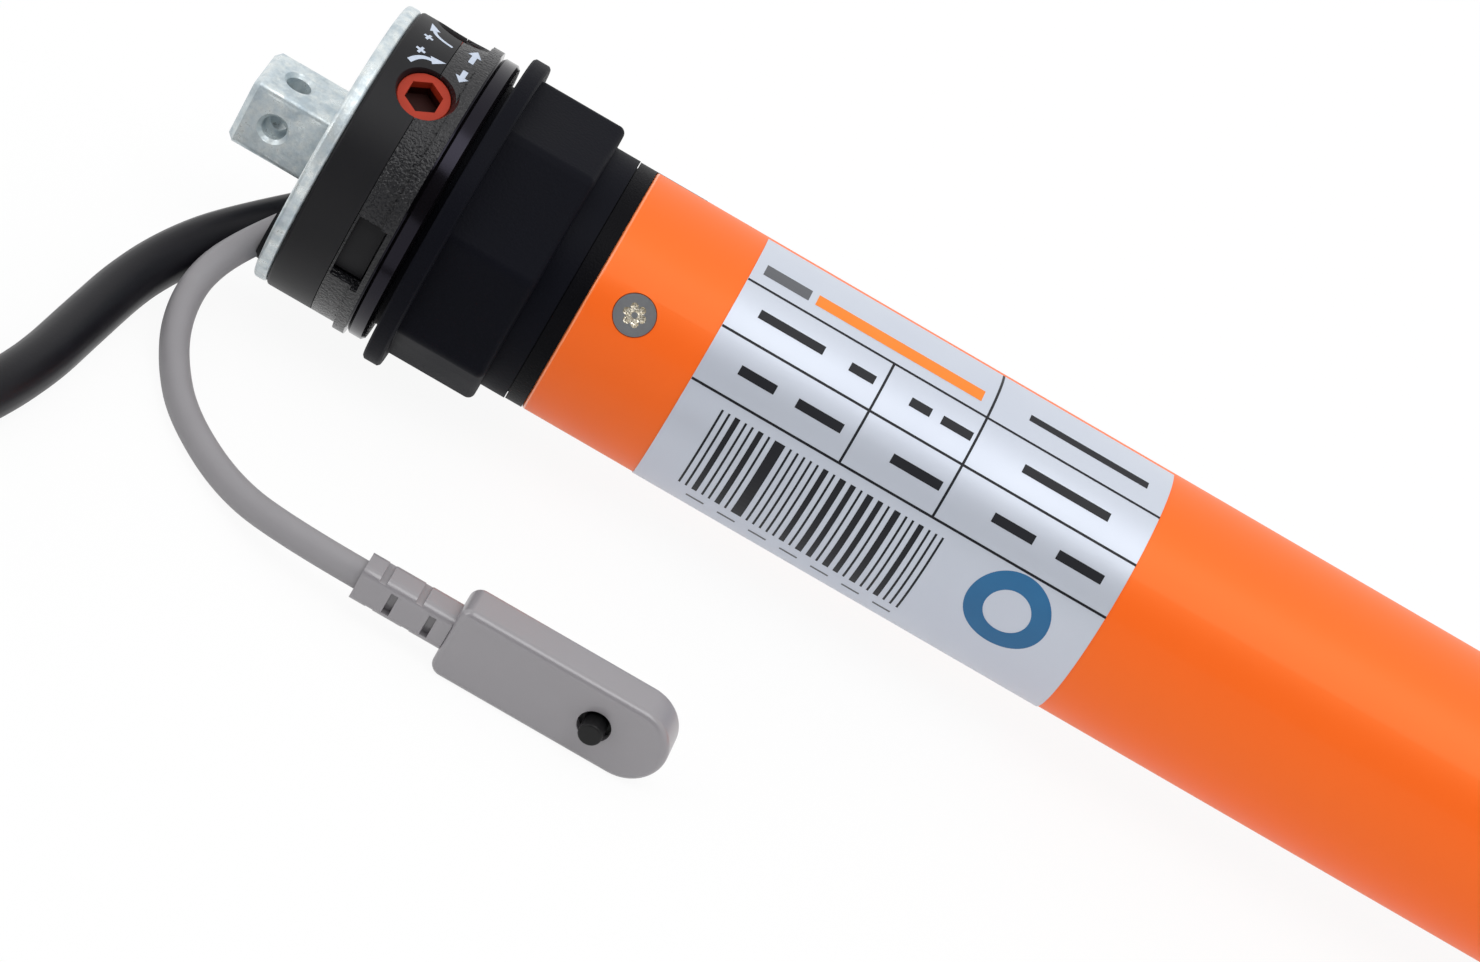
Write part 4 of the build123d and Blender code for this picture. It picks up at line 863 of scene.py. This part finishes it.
@dataclass
class DrumPrint:
    """Flat marks that are printed on a drum of a given radius."""

    radius: float
    film: float = 0.012
    lift: float = 0.004
    step_along: float = 6.0
    step_turned: float = 0.6
    step_round: float = 0.8
    stroke_steps: int = 14
    ring_steps: int = 64
    form: BMesh = field(default_factory=bmesh.new)

    def bar(self, station: float, arc: float, length: float, width: float,
            turn: float = 0.0) -> None:
        """Add a rectangle.

        Args:
            station: Its middle along the tube, in millimetres.
            arc: Its middle round the drum, in millimetres.
            length: Its size along the tube.
            width: Its size round the drum.
            turn: Its turn in degrees.
        """
        mark = bmesh.new()
        step = self.step_turned if turn else self.step_along
        bmesh.ops.create_grid(mark, x_segments=max(1, int(length / step)),
                              y_segments=max(1, int(width / self.step_round)), size=0.5)
        there = Matrix.Translation((station, arc, 0)) @ Matrix.Rotation(math.radians(turn), 4, "Z")
        self.add(mark, there @ Matrix.Diagonal((length, width, 1.0, 1.0)))

    def wedge(self, corners: Iterable[Flat]) -> None:
        """Add a triangle.

        Args:
            corners: Its three corners as station and arc, in millimetres.
        """
        mark = bmesh.new()
        mark.faces.new([mark.verts.new((*corner, 0.0)) for corner in corners])
        bmesh.ops.subdivide_edges(mark, edges=mark.edges[:], cuts=3, use_grid_fill=True)
        self.add(mark, Matrix.Identity(4))

    def stroke(self, through: tuple[Flat, ...], widths: Flat) -> None:
        """Add a curved stroke.

        Args:
            through: Its tail, its middle and its end as station and arc, in millimetres.
            widths: Its width at the tail and at the end.
        """
        mark = bmesh.new()
        bmesh.ops.create_grid(mark, x_segments=self.stroke_steps, y_segments=1, size=0.5)
        tail, middle, end = (Vector(spot) for spot in through)
        for vert in mark.verts:
            share = vert.co.x + 0.5
            spot = (tail * (1 - share) * (1 - 2 * share) + middle * 4 * share * (1 - share)
                    + end * share * (2 * share - 1))
            run = tail * (4 * share - 3) + middle * (4 - 8 * share) + end * (4 * share - 1)
            aside = Vector((-run.y, run.x)).normalized()
            width = widths[0] + (widths[1] - widths[0]) * share
            vert.co = (spot + aside * vert.co.y * width).to_3d()
        self.add(mark, Matrix.Identity(4))

    def ring(self, station: float, arc: float, outer: float, inner: float) -> None:
        """Add a flat ring.

        Args:
            station: Its centre along the tube, in millimetres.
            arc: Its centre round the drum.
            outer: Its outer radius.
            inner: Its inner radius.
        """
        mark = bmesh.new()
        for reach in (outer, inner):
            bmesh.ops.create_circle(mark, segments=self.ring_steps, radius=reach)
        rims = mark.edges[:]
        bmesh.ops.bridge_loops(mark, edges=rims)
        spokes = [edge for edge in mark.edges if edge not in rims]
        bmesh.ops.subdivide_edges(mark, edges=spokes, cuts=4)
        self.add(mark, Matrix.Translation((station, arc, 0)))

    def add(self, mark: BMesh, there: Matrix) -> None:
        """Put a mark in its place on the flat print.

        Args:
            mark: The mark. It is freed.
            there: Its place, turn and scale.
        """
        bmesh.ops.transform(mark, matrix=there, verts=mark.verts[:])
        mesh = bpy.data.meshes.new("mark")
        mark.to_mesh(mesh)
        mark.free()
        self.form.from_mesh(mesh)
        bpy.data.meshes.remove(mesh)

    def finish(self, name: str, ink: Finish) -> None:
        """Give the marks their film thickness and wrap them round the drum.

        Args:
            name: The piece's name.
            ink: The ink's finish.
        """
        made = bmesh.ops.extrude_face_region(self.form, geom=self.form.faces[:])
        raised = [item for item in made["geom"] if isinstance(item, BMVert)]
        bmesh.ops.translate(self.form, verts=raised, vec=(0, 0, self.film))
        for vert in self.form.verts:
            station, arc, height = vert.co
            base = self.radius + self.lift
            turn = arc / self.radius
            reach = base + height
            vert.co = place(station, -reach * math.sin(turn), AXIS_HEIGHT + reach * math.cos(turn))
        bmesh.ops.recalc_face_normals(self.form, faces=self.form.faces[:])
        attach(poured(self.form, name, ink.material()), ROOT)
        LOG.info("%s is made of %s", name, ink.name)


@dataclass
class MotorHead:
    """The fixed head: pin, plate, cover, housing, limit screws and their printed arrows.

    A mark's points are stations along the tube and arcs round the head. An arrow that is curved
    has the three points of its stroke, then the three corners of its head. A block arrow has its
    station, then the arcs of its tail, its neck and its tip.
    """

    head_radius: float = 20.1
    screw_angle: float = 25.0
    socket_light_depth: float = 2.4
    screw_crease: float = 28.0
    ring_stations: Flat = (-24.65, -21.9)
    pluses: tuple[Flat, ...] = ((-33.52, 2.8), (-33.59, -0.58))
    plus_size: float = 1.35
    plus_stroke: float = 0.4
    plus_turn: float = 12.0
    curved_arrows: tuple[tuple[Flat, ...], ...] = (
        ((-34.04, 5.54), (-33.01, 4.04), (-31.6, 3.5), (-32.04, 2.9), (-31.34, 4.12),
         (-29.87, 2.69)),
        ((-30.37, -1.4), (-32.49, -1.96), (-33.36, -3.05), (-33.95, -2.45), (-32.74, -3.6),
         (-34.29, -5.26)))
    curved_strokes: tuple[Flat, ...] = ((0.75, 0.5), (0.42, 0.62))
    block_arrows: tuple[tuple[float, float, float, float], ...] = (
        (-27.36, -0.35, -2.28, -4.32), (-27.26, 2.2, 3.42, 4.53))
    block_shaft: float = 0.72
    block_head: float = 1.9

    def printed_arrows(self) -> None:
        """Print the curved arrows, the plus signs and the block arrows."""
        marks = DrumPrint(self.head_radius)
        for points, widths in zip(self.curved_arrows, self.curved_strokes):
            marks.stroke(points[:3], widths)
            marks.wedge(points[3:])
        for station, arc in self.pluses:
            for turn in (self.plus_turn, self.plus_turn + 90.0):
                marks.bar(station, arc, self.plus_size, self.plus_stroke, turn)
        for station, tail, neck, tip in self.block_arrows:
            marks.bar(station, (tail + neck) / 2, abs(neck - tail) + self.plus_stroke,
                      self.block_shaft, 90.0)
            marks.wedge(((station - self.block_head / 2, neck),
                         (station + self.block_head / 2, neck), (station, tip)))
        marks.finish("printed_arrows", INK_WHITE)

    def paint_socket_shade(self, screw: Object, side: int) -> None:
        """Paint shade on the deep part of a limit screw's socket, as a dark brown red.

        Args:
            screw: The screw's skin.
            side: 1 for the front screw and -1 for the rear one.
        """
        screw.data.materials.append(SOCKET_SHADE_RED.material())
        tilt = math.radians(side * self.screw_angle)
        outwards = Vector((0.0, -math.sin(tilt), math.cos(tilt)))
        depth = (self.head_radius - self.socket_light_depth) * MM
        centre = Vector((0.0, 0.0, AXIS_HEIGHT * MM)) + outwards * depth
        form = bmesh.new()
        form.from_mesh(screw.data)
        bmesh.ops.bisect_plane(form, geom=form.verts[:] + form.edges[:] + form.faces[:],
                               plane_co=centre, plane_no=outwards)
        for face in form.faces:
            # Faces below the cut plane, deep in the socket, take the painted shade red
            if outwards.dot(face.calc_center_median() - centre) < 0:
                face.material_index = 1
        form.to_mesh(screw.data)
        form.free()

    def polish_ring(self, housing: Object) -> None:
        """Give the ring next to the grained band its polished face.

        Args:
            housing: The housing's skin.
        """
        housing.data.materials.append(GLOSS_BLACK.material())
        low, high = (place(station, 0, 0).x for station in self.ring_stations)
        for face in housing.data.polygons:
            if low < face.center.x < high:
                face.material_index = 1

    def build(self) -> None:
        """Dress every piece of the head."""
        for name in ("square_pin", "mounting_plate"):
            skin(name, ZINC)
        skin("plate_screws", SCREW_STEEL)
        skin("cable_grommet", GROMMET)
        skin("head_cover", COVER_BLACK)
        self.polish_ring(skin("head_housing", BAND_BLACK))
        for name, side in (("limit_screw_front", 1), ("limit_screw_rear", -1)):
            self.paint_socket_shade(skin(name, RED, crease=self.screw_crease), side)
        self.printed_arrows()


@dataclass
class CrownAndSleeve:
    """The bearing sleeve, and the crown and limit ring that turn on it."""

    edge_round: float = 0.12

    def build(self) -> None:
        """Dress the sleeve, the ring and the crown."""
        skin("bearing_sleeve", COLLAR_BLACK, soft=self.edge_round)
        skin("limit_ring", CROWN_BLACK)
        skin("crown_adapter", CROWN_BLACK, soft=self.edge_round)


@dataclass
class TubeAndLabel:
    """The lacquered tube with its screws and the printed silver label.

    Sizes and stations along the tube are in millimetres, and angles from the top line in degrees.
    A dash in place of a word has its start, its angle and its length.
    """

    label_radius: float = 17.62
    tube_radius: float = 17.5
    end_round: float = 0.45
    screw_angles: tuple[float, ...] = (58.0, 178.0, -62.0)
    screw_stations: tuple[float, ...] = (6.5, 365.5)
    recess_radius: float = 1.65
    recess_start: float = 0.2
    start: float = 16.6
    end: float = 77.0
    line_angles: tuple[float, ...] = (18.4, 43.3, 68.3)
    top_angle: float = -18.6
    line_width: float = 0.34
    divider_low: float = 38.0
    divider_high: float = 51.6
    bars_start: float = 21.9
    bars_end: float = 54.3
    bars_top: float = 73.5
    bars_bottom: float = 119.0
    bar_rhythm: tuple[float, ...] = (
        0.3, 0.3, 0.75, 0.3, 0.3, 0.75, 0.3, 1.5, 0.3, 0.3, 0.3, 0.3, 0.3, 0.75, 0.3, 0.9, 0.75,
        0.3, 0.9, 0.75, 0.3, 0.9, 0.3, 0.3, 0.75, 0.3, 0.3, 0.3)
    dash_height: float = 1.3
    heading_height: float = 2.1
    heading_first: Spot = (18.0, 8.6, 6.6)
    heading_rest: Spot = (25.6, 8.6, 24.4)
    small_count: int = 7
    small_start: float = 23.7
    small_pitch: float = 4.6
    small_angle: float = 126.5
    small_size: Flat = (2.6, 0.5)
    seal_station: float = 66.0
    seal_angle: float = 88.0
    seal_radii: Flat = (5.7, 3.135)
    words: tuple[Spot, ...] = (
        (20.0, 30.6, 9.4), (33.2, 30.6, 3.6), (21.3, 55.6, 5.2), (29.6, 55.6, 6.6),
        (42.0, 30.6, 3.0), (46.6, 30.6, 4.4), (43.4, 55.6, 7.2), (56.6, 5.0, 17.4),
        (58.6, 31.0, 12.6), (58.2, 55.6, 6.0), (67.6, 55.6, 6.6))

    def arc(self, angle: float) -> float:
        """Turn an angle from the top line into millimetres round the label."""
        return math.radians(angle) * self.label_radius

    def paint_recess_glints(self, screws: Object) -> None:
        """Paint a glint on the walls and the floor of each screw's recess, as a near-white steel
        that stands in for its bright reflections.

        Args:
            screws: The skin of all the tube's screws.
        """
        # The recess faces take the painted glint colour
        screws.data.materials.append(RECESS_GLINT_STEEL.material())
        for angle, station in product(self.screw_angles, self.screw_stations):
            turn = math.radians(angle)
            way = Vector((0.0, -math.sin(turn), math.cos(turn)))
            foot = place(station, 0.0, AXIS_HEIGHT)
            for face in screws.data.polygons:
                height = way.dot(face.center - foot)
                aside = face.center - foot - way * height
                if (0 < height < (self.tube_radius - self.recess_start) * MM
                        and aside.length < self.recess_radius * MM):
                    face.material_index = 1

    def dash(self, marks: DrumPrint, start: float, angle: float, length: float,
             height: float) -> None:
        """Add a dash that begins at a given station.

        Args:
            marks: The print to add it to.
            start: Its start along the tube.
            angle: Its angle from the top line.
            length: Its length along the tube.
            height: Its width round the label.
        """
        marks.bar(start + length / 2, self.arc(angle), length, height)

    def rules(self) -> None:
        """Print the label's rules."""
        lines = DrumPrint(self.label_radius)
        for angle in self.line_angles:
            self.dash(lines, self.start, angle, self.end - self.start, self.line_width)
        for station, top in ((self.divider_low, self.line_angles[0]),
                             (self.divider_high, self.top_angle)):
            low, high = self.arc(top), self.arc(self.line_angles[-1])
            lines.bar(station, (low + high) / 2, self.line_width, high - low)
        lines.finish("label_rules", INK_BLACK)

    def bars(self) -> None:
        """Print the block of bars, a made-up rhythm of thin and thick ones."""
        bars = DrumPrint(self.label_radius)
        count = len(self.bar_rhythm)
        spare = (self.bars_end - self.bars_start - sum(self.bar_rhythm)) / (count - 1)
        station = self.bars_start
        low, high = self.arc(self.bars_top), self.arc(self.bars_bottom)
        for width in self.bar_rhythm:
            bars.bar(station + width / 2, (low + high) / 2, width, high - low)
            station += width + spare
        bars.finish("label_bars", INK_BLACK)

    def greeked_words(self) -> None:
        """Print plain dashes where words would stand."""
        small = [(self.small_start + index * self.small_pitch, self.small_angle,
                  self.small_size[0]) for index in range(self.small_count)]
        for name, dashes, height, ink in (
                ("label_words", self.words, self.dash_height, INK_BLACK),
                ("label_small_words", small, self.small_size[1], INK_GREY),
                ("label_heading", [self.heading_rest], self.heading_height, INK_ORANGE),
                ("label_heading_start", [self.heading_first], self.heading_height, INK_GREY)):
            marks = DrumPrint(self.label_radius)
            for start, angle, length in dashes:
                self.dash(marks, start, angle, length, height)
            marks.finish(name, ink)

    def seal(self) -> None:
        """Print the plain blue ring."""
        mark = DrumPrint(self.label_radius)
        mark.ring(self.seal_station, self.arc(self.seal_angle), *self.seal_radii)
        mark.finish("label_seal", INK_BLUE)

    def build(self) -> None:
        """Dress the tube, its screws and the label, and print the label."""
        tube = skin("motor_tube", ORANGE, rim=self.end_round)
        # The rounded end edge takes a lighter orange: a painted highlight
        tube.data.materials.append(EDGE_HIGHLIGHT_ORANGE.material())
        self.paint_recess_glints(skin("tube_screws", SCREW_STEEL))
        skin("rating_label", FOIL)
        self.rules()
        self.bars()
        self.greeked_words()
        self.seal()


@dataclass
class DriveEnd:
    """The end cap, the output shaft's outside and the drive wheel."""

    def build(self) -> None:
        """Dress the pieces at the drive end."""
        skin("end_cap", INNER_FINISHES["cast_zinc"])
        skin("output_bush", INNER_FINISHES["bronze"])
        skin("drive_wheel", CROWN_BLACK)
        skin("shaft_clip", INNER_FINISHES["spring_steel"])
        skin("carrier_three", INNER_FINISHES["gear_steel"])


@dataclass
class InnerWorks:
    """The pieces inside the head and the tube."""

    def build(self) -> None:
        """Give each inner piece the finish of its slot in the record."""
        slots = {entry["node"]: entry["material_slot"] for entry in frame["record"]["subparts"]}
        for name, solid in frame["nodes"].items():
            if not solid.hide_render:
                dress(name, INNER_FINISHES.get(slots[name], COVER_BLACK))


@dataclass
class SettingSwitch:
    """The moulded push-button switch on the setting lead."""

    relief_round: float = 0.3

    def build(self) -> list[Object]:
        """Dress the switch.

        Returns:
            Its pieces.
        """
        return [skin("switch_body", SWITCH_GREY), skin("switch_back_cover", SWITCH_GREY),
                skin("switch_strain_relief", SWITCH_GREY, soft=self.relief_round),
                skin("set_button", BUTTON_BLACK),
                dress("switch_board", INNER_FINISHES["circuit_board"])]


def main() -> None:
    """Build the studio, the leads and every sub-assembly."""
    logging.basicConfig(level=logging.INFO, format="%(name)s: %(message)s")
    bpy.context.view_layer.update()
    bpy.context.scene.view_settings.view_transform = "Standard"
    Studio().build()
    leads = Leads()
    leads.build()
    switch = SettingSwitch().build()
    for assembly in (MotorHead(), CrownAndSleeve(), TubeAndLabel(), DriveEnd(), InnerWorks()):
        assembly.build()
        LOG.info("%s is done", type(assembly).__name__)


if __name__ == "__main__":
    main()
